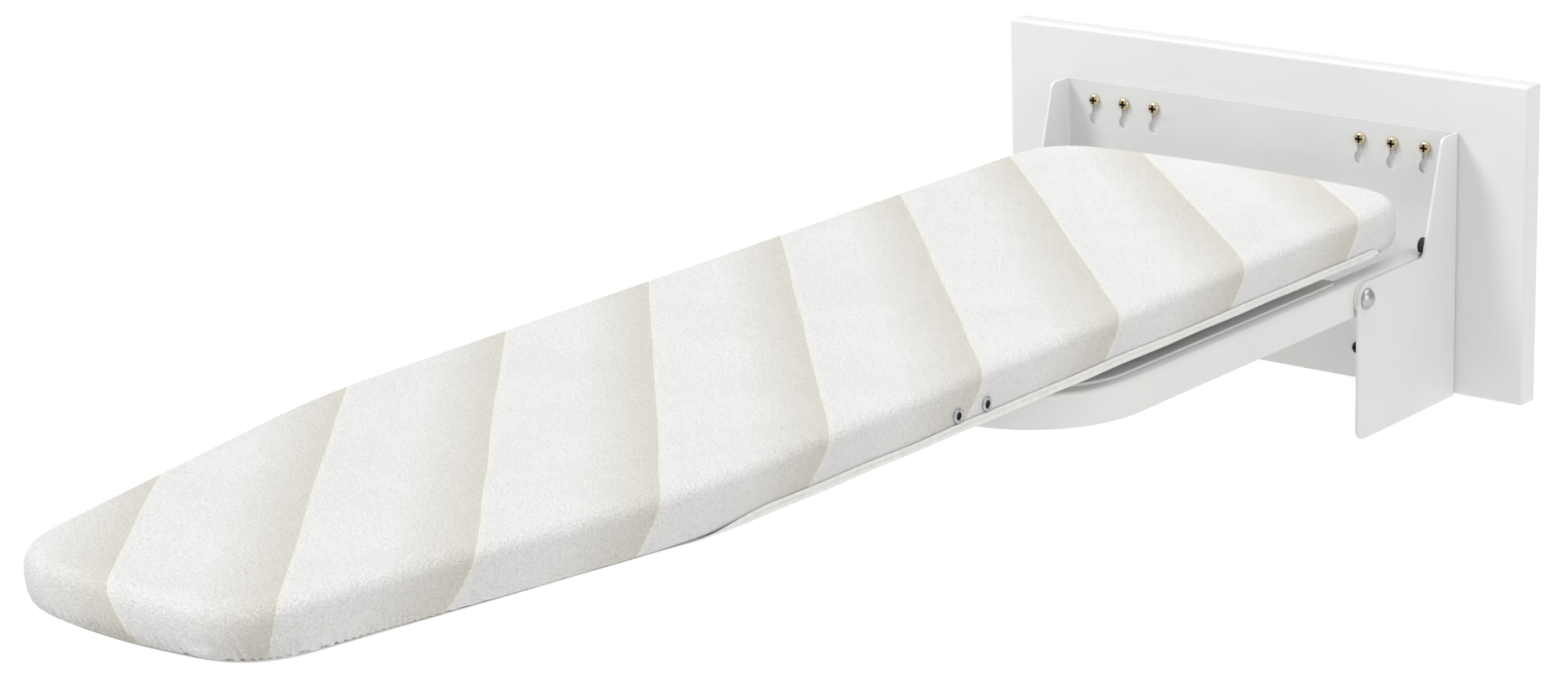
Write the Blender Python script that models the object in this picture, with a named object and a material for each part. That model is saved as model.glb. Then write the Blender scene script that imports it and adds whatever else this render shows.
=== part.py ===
"""Wall-mounted fold-up ironing board with a padded, striped cotton cover.

Metres, +Z up, +X to the right of someone facing the wall, +Y into the wall.
The origin is the centre of the back panel's rear face, which lies on the wall.
The board reaches out along -Y. It folds up about the two pivot bolts, and it
swivels about one upright bolt near the front of the arm.
"""
import math

import bmesh
import bpy
from mathutils import Vector

# ---------------------------------------------------------------- sizes
GAP = 0.0003                  # between pieces that touch
HOLE_CLEARANCE = 0.0003       # on the radius, round every shank

PANEL_WIDTH = 0.436
PANEL_HEIGHT = 0.228
PANEL_THICKNESS = 0.018
PANEL_EDGE = 0.0025           # rounding of the panel's edges

BRACKET_WIDTH = 0.330
BRACKET_HEIGHT = 0.190
BRACKET_SHEET = 0.002
BRACKET_BEND = 0.003          # outer radius of the folds
CHEEK_DEPTH = 0.129           # every depth is from the plate's front face
CHEEK_TOP_DEPTH = 0.020
CHEEK_STEP_DEPTH = 0.043
CHEEK_STEP_DROP = 0.0795      # from the bracket's top down to the wide part
CHEEK_FRONT_RADIUS = 0.012
CHEEK_FOOT_RADIUS = 0.008
CHEEK_STEP_RADIUS = 0.004
CHEEK_TOP_RADIUS = 0.004

KEYHOLE_FROM_TOP = 0.014      # of the screws, from the bracket's top
KEYHOLE_EDGE = 0.0255         # from the bracket's side to the first screw
KEYHOLE_PITCH = 0.0262
KEYHOLE_DROP = 0.014          # from the screw down to the wide end
KEYHOLE_WIDE_RADIUS = 0.0053
LOWER_SCREW_HEIGHT = 0.0225
SCREW_SHANK_RADIUS = 0.0022
SCREW_HEAD_RADIUS = 0.0045
SCREW_HEAD_HEIGHT = 0.0027
SCREW_LENGTH = 0.0150         # under the head
CROSS_ARM = 0.0025            # half the length of a screw's cross recess
CROSS_HALF_WIDTH = 0.0006
CROSS_DEPTH = 0.0016

PIVOT_EDGE = 0.010            # from the cheek's front edge back to the pivot
PIVOT_DROP = 0.0115           # from the top of the cheek's wide part to the pivot
PIVOT_SHANK_RADIUS = 0.004
PIVOT_HEAD_RADIUS = 0.0072
PIVOT_HEAD_HEIGHT = 0.0042
PIVOT_HEAD_RIM = 0.0008
PIVOT_NUT_FLATS = 0.013
PIVOT_NUT_HEIGHT = 0.0065
PIVOT_BUSH_RADIUS = 0.0105
PIVOT_BOLT_END = 0.0015       # thread that shows past the nut
THREAD_CHAMFER = 0.0006       # at the end of a shank
STOP_BEHIND_STEP = 0.007      # from the cheek's step back to the stop
STOP_STUD_RADIUS = 0.003
STOP_SLEEVE_RADIUS = 0.0055
STOP_TO_BOARD = 0.0012        # sideways, between a stop and the folded-up board

ARM_SIDE_ROOM = 0.002         # between a cheek and the arm
ARM_SHEET = 0.002
ARM_BEND = 0.003
ARM_ABOVE_PIVOT = 0.012
ARM_BELOW_PIVOT = 0.0115
ARM_PAST_STOP = 0.008         # from the stop back to the arm's rear end
ARM_REACH = 0.349             # from the pivot to the front of the arm
ARM_CORNER_RADIUS = 0.080
ARM_LEDGE = 0.016             # width of the arm's turned-in top

DECK_INSET = 0.0085           # from the arm's side to the deck's
DECK_SHEET = 0.002
DECK_FROM_PIVOT = 0.018       # from the pivot forward to the deck's rear edge
DECK_LIP = 0.012              # of the deck's turned-down rear edge
DECK_REAR_RADIUS = 0.006

SWIVEL_SHANK_RADIUS = 0.005
SWIVEL_HEAD_RADIUS = 0.011
SWIVEL_HEAD_HEIGHT = 0.0055
SWIVEL_NUT_FLATS = 0.017
SWIVEL_NUT_HEIGHT = 0.008
NUT_CHAMFER = 0.0004
SWIVEL_WASHER_RADIUS = 0.0115
SWIVEL_WASHER_THICKNESS = 0.0016
SWIVEL_BOLT_END = 0.003
BASE_PLATE_RADIUS = 0.065
TOP_PLATE_RADIUS = 0.044
SWIVEL_PLATE = 0.0025         # thickness of both swivel plates
SLIP_DISC_RADIUS = 0.046
SLIP_DISC_THICKNESS = 0.0015
RIVET_CIRCLE_RADIUS = 0.056
RIVET_COUNT = 4
RIVET_SHANK_RADIUS = 0.002
RIVET_HEAD_RADIUS = 0.0037
RIVET_HEAD_HEIGHT = 0.0016
RIVET_TAIL_RADIUS = 0.003
RIVET_TAIL_HEIGHT = 0.001

BEAM_WEB = 0.096              # width of the beam's lower web
BEAM_HEIGHT = 0.0227
BEAM_FLANGE = 0.018
BEAM_SHEET = 0.0015
BEAM_REAR = 0.070             # from the tail of the board
BEAM_FRONT = 0.700

BOARD_LENGTH = 1.080
BOARD_SIDE_ROOM = 0.006       # between a cheek and the board
BOARD_THICKNESS = 0.0310
BOARD_TAIL_DEPTH = 0.025
TAIL_CROWN = 0.012            # fall from the tail's middle to its corners
TAIL_CROWN_RADIUS = 0.80
TAIL_CORNER_RADIUS = 0.048
TAPER_LENGTH = 0.305          # from the nose back to the parallel sides
TAPER_RADIUS = 0.55
NOSE_WIDTH = 0.192
NOSE_CROWN = 0.014
NOSE_CROWN_RADIUS = 0.30
NOSE_CORNER_RADIUS = 0.052

PAN_SHEET = 0.001
PAN_BEND = 0.003
VENT_RADIUS = 0.007
VENT_PITCH = 0.052
VENT_ROWS = 12
VENT_SIDE = 0.104             # from the middle to a row of vents
VENT_FIRST = 0.110            # from the tail to the first vent
PAD_TOP = 0.006
PAD_SIDE = 0.003
COVER_CLOTH = 0.001
COVER_EDGE = 0.009            # rounding of the cover's upper edge
HEM_RETURN = 0.022            # of cloth turned under the board
HEM_ROOM = 0.0012             # between the hem and the pan's rim
HEM_BEND = 0.0025
ELASTIC_RADIUS = 0.00125
EYELET_FROM_TAIL = (0.518, 0.547)
EYELET_HEIGHT = 0.0115        # above the hem
EYELET_RADIUS = 0.0046
EYELET_HOLE = 0.0021
EYELET_THICKNESS = 0.0014

SMALL_STEPS = 14              # sides of a screw and its hole
ROUND_STEPS = 20              # of a bolt, bush or washer
DISC_STEPS = 32               # of a swivel plate

# ---------------------------------------------------------------- places
PLATE_BACK = -PANEL_THICKNESS - GAP
PLATE_FRONT = PLATE_BACK - BRACKET_SHEET
BRACKET_BOTTOM = -PANEL_HEIGHT / 2
BRACKET_TOP = BRACKET_BOTTOM + BRACKET_HEIGHT
BRACKET_SIDE = BRACKET_WIDTH / 2
CHEEK_INNER = BRACKET_SIDE - BRACKET_SHEET
CHEEK_STEP = BRACKET_TOP - CHEEK_STEP_DROP
ARM_SIDE = CHEEK_INNER - ARM_SIDE_ROOM
PIVOT_DEPTH = CHEEK_DEPTH - PIVOT_EDGE
STOP_DEPTH = CHEEK_STEP_DEPTH - STOP_BEHIND_STEP
STOP_LENGTH = BOARD_SIDE_ROOM - STOP_TO_BOARD - GAP
ARM_REAR_DEPTH = STOP_DEPTH - ARM_PAST_STOP
ARM_FRONT_DEPTH = PIVOT_DEPTH + ARM_REACH
DECK_REAR_DEPTH = PIVOT_DEPTH + DECK_FROM_PIVOT
SWIVEL_DEPTH = ARM_FRONT_DEPTH - ARM_CORNER_RADIUS


def in_front(depth):
    """The y of a place that lies a depth in front of the bracket's plate."""
    return PLATE_FRONT - depth


PIVOT = Vector((0, in_front(PIVOT_DEPTH), CHEEK_STEP - PIVOT_DROP))
ARM_TOP = PIVOT.z + ARM_ABOVE_PIVOT
ARM_BOTTOM = PIVOT.z - ARM_BELOW_PIVOT
DECK_TOP = ARM_TOP + GAP + DECK_SHEET
BASE_PLATE_TOP = DECK_TOP + GAP + SWIVEL_PLATE
SLIP_DISC_TOP = BASE_PLATE_TOP + GAP + SLIP_DISC_THICKNESS
TOP_PLATE_TOP = SLIP_DISC_TOP + GAP + SWIVEL_PLATE
BEAM_BOTTOM = TOP_PLATE_TOP + GAP
PAN_BOTTOM = BEAM_BOTTOM + BEAM_HEIGHT + GAP
PAN_TOP = PAN_BOTTOM + PAN_SHEET
PAD_SURFACE = PAN_TOP + GAP + PAD_TOP
COVER_TOP = PAD_SURFACE + GAP + COVER_CLOTH
HEM_BOTTOM = COVER_TOP - BOARD_THICKNESS
PAN_RIM = HEM_BOTTOM + COVER_CLOTH + HEM_ROOM
PAD_INSET = COVER_CLOTH + GAP
PAN_INSET = PAD_INSET + PAD_SIDE + GAP
SWIVEL = Vector((0, in_front(SWIVEL_DEPTH), SLIP_DISC_TOP))
TAIL = in_front(BOARD_TAIL_DEPTH)
BOARD_SIDE = CHEEK_INNER - BOARD_SIDE_ROOM


# ---------------------------------------------------------------- tools
def clear_scene():
    for thing in list(bpy.data.objects):
        bpy.data.objects.remove(thing, do_unlink=True)


def make_material(name, colour, roughness, metallic=0.0):
    material = bpy.data.materials.new(name)
    material.use_nodes = True
    shader = material.node_tree.nodes["Principled BSDF"]
    shader.inputs["Base Color"].default_value = (*colour, 1.0)
    shader.inputs["Roughness"].default_value = roughness
    shader.inputs["Metallic"].default_value = metallic
    return material


def make_empty(name, place, parent=None):
    empty = bpy.data.objects.new(name, None)
    empty.empty_display_size = 0.05
    empty.location = place
    if parent:
        empty.location = place - parent.location
        empty.parent = parent
    bpy.context.collection.objects.link(empty)
    return empty


def add_piece(name, shape, finish, axis=None, smooth=None):
    """Make an object of a bmesh drawn in world space; axis is a joint's empty."""
    origin = world_place(axis) if axis else Vector()
    bmesh.ops.recalc_face_normals(shape, faces=shape.faces)
    bmesh.ops.translate(shape, verts=shape.verts, vec=-origin)
    mesh = bpy.data.meshes.new(name)
    shape.to_mesh(mesh)
    shape.free()
    if smooth:
        mesh.shade_smooth()
        mesh.set_sharp_from_angle(angle=math.radians(smooth))
    piece = bpy.data.objects.new(name, mesh)
    piece.parent = axis
    bpy.context.collection.objects.link(piece)
    piece.data.materials.append(finish)
    return piece


def world_place(empty):
    place = empty.location.copy()
    if empty.parent:
        place += empty.parent.location
    return place


def add_cutter(name, shape):
    bmesh.ops.recalc_face_normals(shape, faces=shape.faces)
    mesh = bpy.data.meshes.new(name)
    shape.to_mesh(mesh)
    shape.free()
    cutter = bpy.data.objects.new(name, mesh)
    cutter.hide_render = True
    cutter.display_type = "WIRE"
    bpy.context.collection.objects.link(cutter)
    return cutter


def cut(piece, cutter, operation="DIFFERENCE"):
    change = piece.modifiers.new(cutter.name, "BOOLEAN")
    change.operation = operation
    change.solver = "EXACT"
    change.object = cutter


def rounded(corners, inset=0.0):
    """An outline with rounded corners, drawn anticlockwise and set in all round.

    Each corner is (x, y, radius, steps). A convex corner's radius shrinks by
    the inset and a hollow corner's grows, so that outlines stay parallel.
    """
    points = []
    count = len(corners)
    for i, (x, y, radius, steps) in enumerate(corners):
        here = Vector((x, y))
        before = (here - Vector(corners[i - 1][:2])).normalized()
        after = (Vector(corners[(i + 1) % count][:2]) - here).normalized()
        turn = math.atan2(before.cross(after), before.dot(after))
        side_before = Vector((-before.y, before.x))
        side_after = Vector((-after.y, after.x))
        here += inset * (side_before + side_after) / (1 + side_before.dot(side_after))
        bend = radius - math.copysign(inset, turn)
        start = here - before * bend * math.tan(abs(turn) / 2)
        centre = start + math.copysign(bend, turn) * side_before
        for step in range(steps + 1):
            arm = start - centre
            angle = turn * step / steps
            points.append(centre + Vector((arm.x * math.cos(angle) - arm.y * math.sin(angle),
                                           arm.x * math.sin(angle) + arm.y * math.cos(angle))))
    return points


def circle(centre, radius, steps):
    turns = [2 * math.pi * step / steps for step in range(steps)]
    return [Vector((centre[0] + radius * math.cos(t), centre[1] + radius * math.sin(t)))
            for t in turns]


def along_x(u, v, w):
    return (w, u, v)


def along_y(u, v, w):
    return (u, w, v)


def along_z(u, v, w):
    return (u, v, w)


def add_prism(shape, outline, place, low, high):
    """Extrude an outline between two heights along the axis that place names."""
    face = shape.faces.new([shape.verts.new(place(u, v, low)) for u, v in outline])
    grown = bmesh.ops.extrude_face_region(shape, geom=[face])["geom"]
    moved = [v for v in grown if isinstance(v, bmesh.types.BMVert)]
    bmesh.ops.translate(shape, verts=moved, vec=place(0, 0, high - low))


def prism(outline, place, low, high):
    shape = bmesh.new()
    add_prism(shape, outline, place, low, high)
    return shape


def loft(loops, cyclic=False):
    """Skin a row of loops that have the same number of points."""
    shape = bmesh.new()
    rings = [[shape.verts.new(point) for point in loop] for loop in loops]
    if cyclic:
        rings.append(rings[0])
    for lower, upper in zip(rings, rings[1:]):
        for i in range(len(lower)):
            shape.faces.new((lower[i - 1], lower[i], upper[i], upper[i - 1]))
    if not cyclic:
        shape.faces.new(rings[0])
        shape.faces.new(rings[-1])
    return shape


def turned(profile, place, axis=(0, 0, 1), steps=ROUND_STEPS, ring=False):
    """Spin a profile of (radius, height) about an axis through a place.

    A solid's profile starts and ends on the axis; a ring's closes on itself.
    """
    shape = bmesh.new()
    verts = [shape.verts.new((radius, 0, height)) for radius, height in profile]
    edges = [shape.edges.new(pair) for pair in zip(verts, verts[1:])]
    if ring:
        edges.append(shape.edges.new((verts[-1], verts[0])))
    bmesh.ops.spin(shape, geom=verts + edges, cent=(0, 0, 0), axis=(0, 0, 1),
                   angle=2 * math.pi, steps=steps, use_merge=True)
    bmesh.ops.remove_doubles(shape, verts=shape.verts, dist=1e-6)
    turn = Vector((0, 0, 1)).rotation_difference(Vector(axis)).to_matrix()
    bmesh.ops.rotate(shape, verts=shape.verts, cent=(0, 0, 0), matrix=turn)
    bmesh.ops.translate(shape, verts=shape.verts, vec=place)
    return shape


def washer(inner, outer, thickness, place, axis=(0, 0, 1), steps=ROUND_STEPS):
    profile = [(inner, 0), (outer, 0), (outer, thickness), (inner, thickness)]
    return turned(profile, place, axis, steps, ring=True)


def dome(radius, height, steps=4):
    """A low domed head as a profile, from its rim up to the axis."""
    curve = (radius ** 2 + height ** 2) / (2 * height)
    half = math.asin(radius / curve)
    points = []
    for step in range(steps + 1):
        angle = half * (1 - step / steps)
        points.append((curve * math.sin(angle), height - curve * (1 - math.cos(angle))))
    points[-1] = (0, height)
    return points


# ---------------------------------------------------------------- wall side
def screw_places():
    """Where the screws stand on the plate, as (name, x, z)."""
    height = BRACKET_TOP - KEYHOLE_FROM_TOP
    places = []
    for side, word in ((-1, "left"), (1, "right")):
        for number in range(3):
            x = side * (BRACKET_SIDE - KEYHOLE_EDGE - number * KEYHOLE_PITCH)
            places.append((f"keyhole_screw_{word}_{number + 1}", x, height))
    return places


def lower_screw_places():
    x = BRACKET_SIDE - KEYHOLE_EDGE - 2 * KEYHOLE_PITCH
    height = BRACKET_BOTTOM + LOWER_SCREW_HEIGHT
    return [("lower_screw_left", -x, height), ("lower_screw_right", x, height)]


def make_panel(finish):
    box = [(-PANEL_WIDTH / 2, -PANEL_HEIGHT / 2), (PANEL_WIDTH / 2, -PANEL_HEIGHT / 2),
           (PANEL_WIDTH / 2, PANEL_HEIGHT / 2), (-PANEL_WIDTH / 2, PANEL_HEIGHT / 2)]
    panel = add_piece("back_panel", prism(box, along_y, -PANEL_THICKNESS, 0), finish)
    edge = panel.modifiers.new("soft_edge", "BEVEL")
    edge.width = PANEL_EDGE
    edge.segments = 2
    holes = bmesh.new()
    tip = PLATE_FRONT + SCREW_LENGTH + HOLE_CLEARANCE
    for name, x, z in screw_places() + lower_screw_places():
        outline = circle((x, z), SCREW_SHANK_RADIUS + HOLE_CLEARANCE, SMALL_STEPS)
        add_prism(holes, outline, along_y, -2 * PANEL_THICKNESS, tip)
    cut(panel, add_cutter("panel_pilot_holes", holes))


def folded_outline(inset):
    """The bracket's sheet from above, from one cheek's front edge to the other's."""
    front = in_front(CHEEK_DEPTH + BRACKET_SHEET)
    side = BRACKET_SIDE - inset
    bend = BRACKET_BEND - inset
    points = [(-side, front)]
    for centre, first in ((-1, 180), (1, 90)):
        for step in range(5):
            angle = math.radians(first - 90 * step / 4)
            x = centre * (BRACKET_SIDE - BRACKET_BEND) + bend * math.cos(angle)
            points.append((x, PLATE_BACK - BRACKET_BEND + bend * math.sin(angle)))
    points.append((side, front))
    return points


def keyhole(x, z):
    """A slot for the screw's shank that opens into a wide hole below it."""
    slot = SCREW_SHANK_RADIUS + 2 * HOLE_CLEARANCE
    low = z - KEYHOLE_DROP
    points = [(x + slot * math.cos(a), z + slot * math.sin(a))
              for a in [math.pi * step / 8 for step in range(9)]]
    half = math.asin(slot / KEYHOLE_WIDE_RADIUS)
    start = math.pi / 2 + half
    sweep = 2 * math.pi - 2 * half
    for step in range(15):
        angle = start + sweep * step / 14
        points.append((x + KEYHOLE_WIDE_RADIUS * math.cos(angle),
                       low + KEYHOLE_WIDE_RADIUS * math.sin(angle)))
    return points


def make_bracket(finish):
    sheet = folded_outline(0) + folded_outline(BRACKET_SHEET)[::-1]
    shape = prism(sheet, along_z, BRACKET_BOTTOM - BRACKET_SHEET, BRACKET_TOP + BRACKET_SHEET)
    bracket = add_piece("wall_bracket", shape, finish, smooth=40)

    behind = PLATE_BACK + BRACKET_SHEET
    side_view = [(in_front(CHEEK_DEPTH), BRACKET_BOTTOM, CHEEK_FOOT_RADIUS, 6),
                 (behind, BRACKET_BOTTOM, GAP, 1),
                 (behind, BRACKET_TOP, GAP, 1),
                 (in_front(CHEEK_TOP_DEPTH), BRACKET_TOP, CHEEK_TOP_RADIUS, 4),
                 (in_front(CHEEK_STEP_DEPTH), CHEEK_STEP, CHEEK_STEP_RADIUS, 4),
                 (in_front(CHEEK_DEPTH), CHEEK_STEP, CHEEK_FRONT_RADIUS, 7)]
    keep = prism(rounded(side_view), along_x, -BRACKET_WIDTH, BRACKET_WIDTH)
    cut(bracket, add_cutter("cheek_side_view", keep), "INTERSECT")

    holes = bmesh.new()
    through = (PLATE_FRONT - BRACKET_SHEET, PLATE_BACK + BRACKET_SHEET)
    for name, x, z in screw_places():
        add_prism(holes, keyhole(x, z), along_y, *through)
    for name, x, z in lower_screw_places():
        outline = circle((x, z), SCREW_SHANK_RADIUS + HOLE_CLEARANCE, SMALL_STEPS)
        add_prism(holes, outline, along_y, *through)
    outline = circle((PIVOT.y, PIVOT.z), PIVOT_SHANK_RADIUS + HOLE_CLEARANCE, ROUND_STEPS)
    add_prism(holes, outline, along_x, -BRACKET_WIDTH, BRACKET_WIDTH)
    cut(bracket, add_cutter("bracket_holes", holes))


def make_screw(name, x, z, finish):
    """A pan-head wood screw with a cross recess, its head towards the room."""
    low = -SCREW_LENGTH
    profile = [(0, low), (SCREW_SHANK_RADIUS * 0.3, low),
               (SCREW_SHANK_RADIUS, low + 2 * SCREW_SHANK_RADIUS), (SCREW_SHANK_RADIUS, GAP)]
    profile += [(SCREW_HEAD_RADIUS * r, GAP + SCREW_HEAD_HEIGHT * h)
                for r, h in ((1, 0), (1, 0.25), (0.86, 0.68), (0.55, 0.95), (0, 1))]
    shape = turned(profile, (x, PLATE_FRONT, z), (0, -1, 0), SMALL_STEPS)
    screw = add_piece(name, shape, finish, smooth=35)
    arm, bar = CROSS_ARM, CROSS_HALF_WIDTH
    cross = [(bar, arm), (-bar, arm), (-bar, bar), (-arm, bar), (-arm, -bar), (-bar, -bar),
             (-bar, -arm), (bar, -arm), (bar, -bar), (arm, -bar), (arm, bar), (bar, bar)]
    face = PLATE_FRONT - GAP - SCREW_HEAD_HEIGHT
    recess = prism([(x + u, z + v) for u, v in cross], along_y,
                   face - SCREW_HEAD_HEIGHT, face + CROSS_DEPTH)
    cut(screw, add_cutter(name + "_recess", recess))


def hexagon(flats, centre):
    return circle(centre, flats / math.sqrt(3), 6)


def shank(radius, low, high):
    """A shank with a chamfered end as a profile, from its tip up to its head."""
    return [(0, low), (radius - THREAD_CHAMFER, low), (radius, low + THREAD_CHAMFER),
            (radius, high)]


def make_pivots(steel, nylon):
    for side, word in ((-1, "left"), (1, "right")):
        head = [(PIVOT_HEAD_RADIUS, GAP)]
        head += [(r, h + GAP + PIVOT_HEAD_RIM)
                 for r, h in dome(PIVOT_HEAD_RADIUS, PIVOT_HEAD_HEIGHT)]
        nut_face = ARM_SIDE - ARM_SHEET - GAP
        tip = nut_face - PIVOT_NUT_HEIGHT - PIVOT_BOLT_END - BRACKET_SIDE
        profile = shank(PIVOT_SHANK_RADIUS, tip, GAP) + head
        place = (side * BRACKET_SIDE, PIVOT.y, PIVOT.z)
        bolt = turned(profile, place, (side, 0, 0))
        add_piece("pivot_bolt_" + word, bolt, steel, smooth=35)

        bush = washer(PIVOT_SHANK_RADIUS + HOLE_CLEARANCE, PIVOT_BUSH_RADIUS,
                      ARM_SIDE_ROOM - 2 * GAP, (side * (ARM_SIDE + GAP), PIVOT.y, PIVOT.z),
                      (side, 0, 0))
        add_piece("pivot_bush_" + word, bush, nylon, smooth=35)
        ends = sorted((side * nut_face, side * (nut_face - PIVOT_NUT_HEIGHT)))
        add_nut("pivot_nut_" + word, PIVOT_NUT_FLATS, PIVOT_SHANK_RADIUS, (PIVOT.y, PIVOT.z),
                along_x, ends, steel)


def add_nut(name, flats, shank, centre, place, ends, finish, axis=None):
    shape = prism(hexagon(flats, centre), place, *ends)
    bmesh.ops.bevel(shape, geom=[e for e in shape.edges if crosses(e, place)],
                    offset=NUT_CHAMFER, segments=1, affect="EDGES", profile=0.5, material=-1)
    piece = add_piece(name, shape, finish, axis)
    reach = ends[1] - ends[0]
    hole = prism(circle(centre, shank + HOLE_CLEARANCE, ROUND_STEPS), place,
                 ends[0] - reach, ends[1] + reach)
    cut(piece, add_cutter(name + "_bore", hole))


def crosses(edge, place):
    """True for an edge of a nut's two faces, false for one along its axis."""
    along = Vector(place(0, 0, 1))
    return abs((edge.verts[0].co - edge.verts[1].co).normalized().dot(along)) < 0.5


def make_stops(steel, rubber):
    height = ARM_TOP + GAP + STOP_SLEEVE_RADIUS
    for side, word in ((-1, "left"), (1, "right")):
        place = (side * (CHEEK_INNER - GAP), in_front(STOP_DEPTH), height)
        stud = turned(shank(STOP_STUD_RADIUS, -STOP_LENGTH, 0) + [(0, 0)], place, (side, 0, 0))
        add_piece("stop_stud_" + word, stud, steel, smooth=35)
        sleeve = washer(STOP_STUD_RADIUS + HOLE_CLEARANCE, STOP_SLEEVE_RADIUS, STOP_LENGTH,
                        place, (-side, 0, 0))
        add_piece("stop_sleeve_" + word, sleeve, rubber, smooth=35)


# ---------------------------------------------------------------- swing arm
def arm_path(inset):
    """The arm's edge from above, from its left rear end round to its right one."""
    rear = in_front(ARM_REAR_DEPTH)
    front = in_front(ARM_FRONT_DEPTH)
    bend = ARM_CORNER_RADIUS - inset
    points = [(-ARM_SIDE + inset, rear)]
    for centre, first in ((-1, 180), (1, 270)):
        for step in range(11):
            angle = math.radians(first + 90 * step / 10)
            points.append((centre * (ARM_SIDE - ARM_CORNER_RADIUS) + bend * math.cos(angle),
                           front + ARM_CORNER_RADIUS + bend * math.sin(angle)))
    points.append((ARM_SIDE - inset, rear))
    return points


def arm_section():
    """The arm's sheet where it is cut across, as (inset, z)."""
    section = [(0, ARM_BOTTOM)]
    quarter = [math.radians(180 - 90 * step / 3) for step in range(4)]
    for angle in quarter:
        section.append((ARM_BEND * (1 + math.cos(angle)),
                        ARM_TOP - ARM_BEND * (1 - math.sin(angle))))
    section += [(ARM_LEDGE, ARM_TOP), (ARM_LEDGE, ARM_TOP - ARM_SHEET)]
    inner = ARM_BEND - ARM_SHEET
    for angle in reversed(quarter):
        section.append((ARM_BEND + inner * math.cos(angle),
                        ARM_TOP - ARM_BEND + inner * math.sin(angle)))
    section.append((ARM_SHEET, ARM_BOTTOM))
    return section


def make_arm(white, axis):
    edges = {inset: arm_path(inset) for inset, height in arm_section()}
    stations = range(len(arm_path(0)))
    loops = [[(*edges[inset][i], height) for inset, height in arm_section()] for i in stations]
    frame = add_piece("arm_frame", loft(loops), white, axis, smooth=35)
    bore = circle((PIVOT.y, PIVOT.z), PIVOT_SHANK_RADIUS + HOLE_CLEARANCE, ROUND_STEPS)
    bores = prism(bore, along_x, -BRACKET_WIDTH, BRACKET_WIDTH)
    cut(frame, add_cutter("arm_pivot_bores", bores))

    side = ARM_SIDE - DECK_INSET
    front = in_front(ARM_FRONT_DEPTH - DECK_INSET)
    rear = in_front(DECK_REAR_DEPTH)
    corner = ARM_CORNER_RADIUS - DECK_INSET
    outline = rounded([(-side, rear, DECK_REAR_RADIUS, 3), (-side, front, corner, 10),
                       (side, front, corner, 10), (side, rear, DECK_REAR_RADIUS, 3)])
    plate = prism(outline, along_z, DECK_TOP - DECK_SHEET, DECK_TOP)
    deck = add_piece("arm_deck", plate, white, axis)
    lip_side = ARM_SIDE - ARM_LEDGE - ARM_SHEET
    lip = [(-lip_side, rear - DECK_SHEET), (lip_side, rear - DECK_SHEET),
           (lip_side, rear - GAP), (-lip_side, rear - GAP)]
    lip_shape = prism(lip, along_z, DECK_TOP - DECK_LIP, DECK_TOP - DECK_SHEET / 2)
    cut(deck, add_cutter("deck_rear_lip", lip_shape), "UNION")
    cut(deck, add_cutter("deck_holes", swivel_holes(True)))


def swivel_holes(rivets):
    """Cutters for the swivel bolt and, if asked, for the base plate's rivets."""
    shape = bmesh.new()
    low, high = ARM_BOTTOM, PAN_TOP
    bolt = circle(SWIVEL.xy, SWIVEL_SHANK_RADIUS + HOLE_CLEARANCE, ROUND_STEPS)
    add_prism(shape, bolt, along_z, low, high)
    if rivets:
        for x, y in rivet_places():
            outline = circle((x, y), RIVET_SHANK_RADIUS + HOLE_CLEARANCE, SMALL_STEPS)
            add_prism(shape, outline, along_z, low, high)
    return shape


def rivet_places():
    turn = math.radians(45)
    return [(SWIVEL.x + RIVET_CIRCLE_RADIUS * math.cos(turn + 2 * math.pi * i / RIVET_COUNT),
             SWIVEL.y + RIVET_CIRCLE_RADIUS * math.sin(turn + 2 * math.pi * i / RIVET_COUNT))
            for i in range(RIVET_COUNT)]


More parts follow.
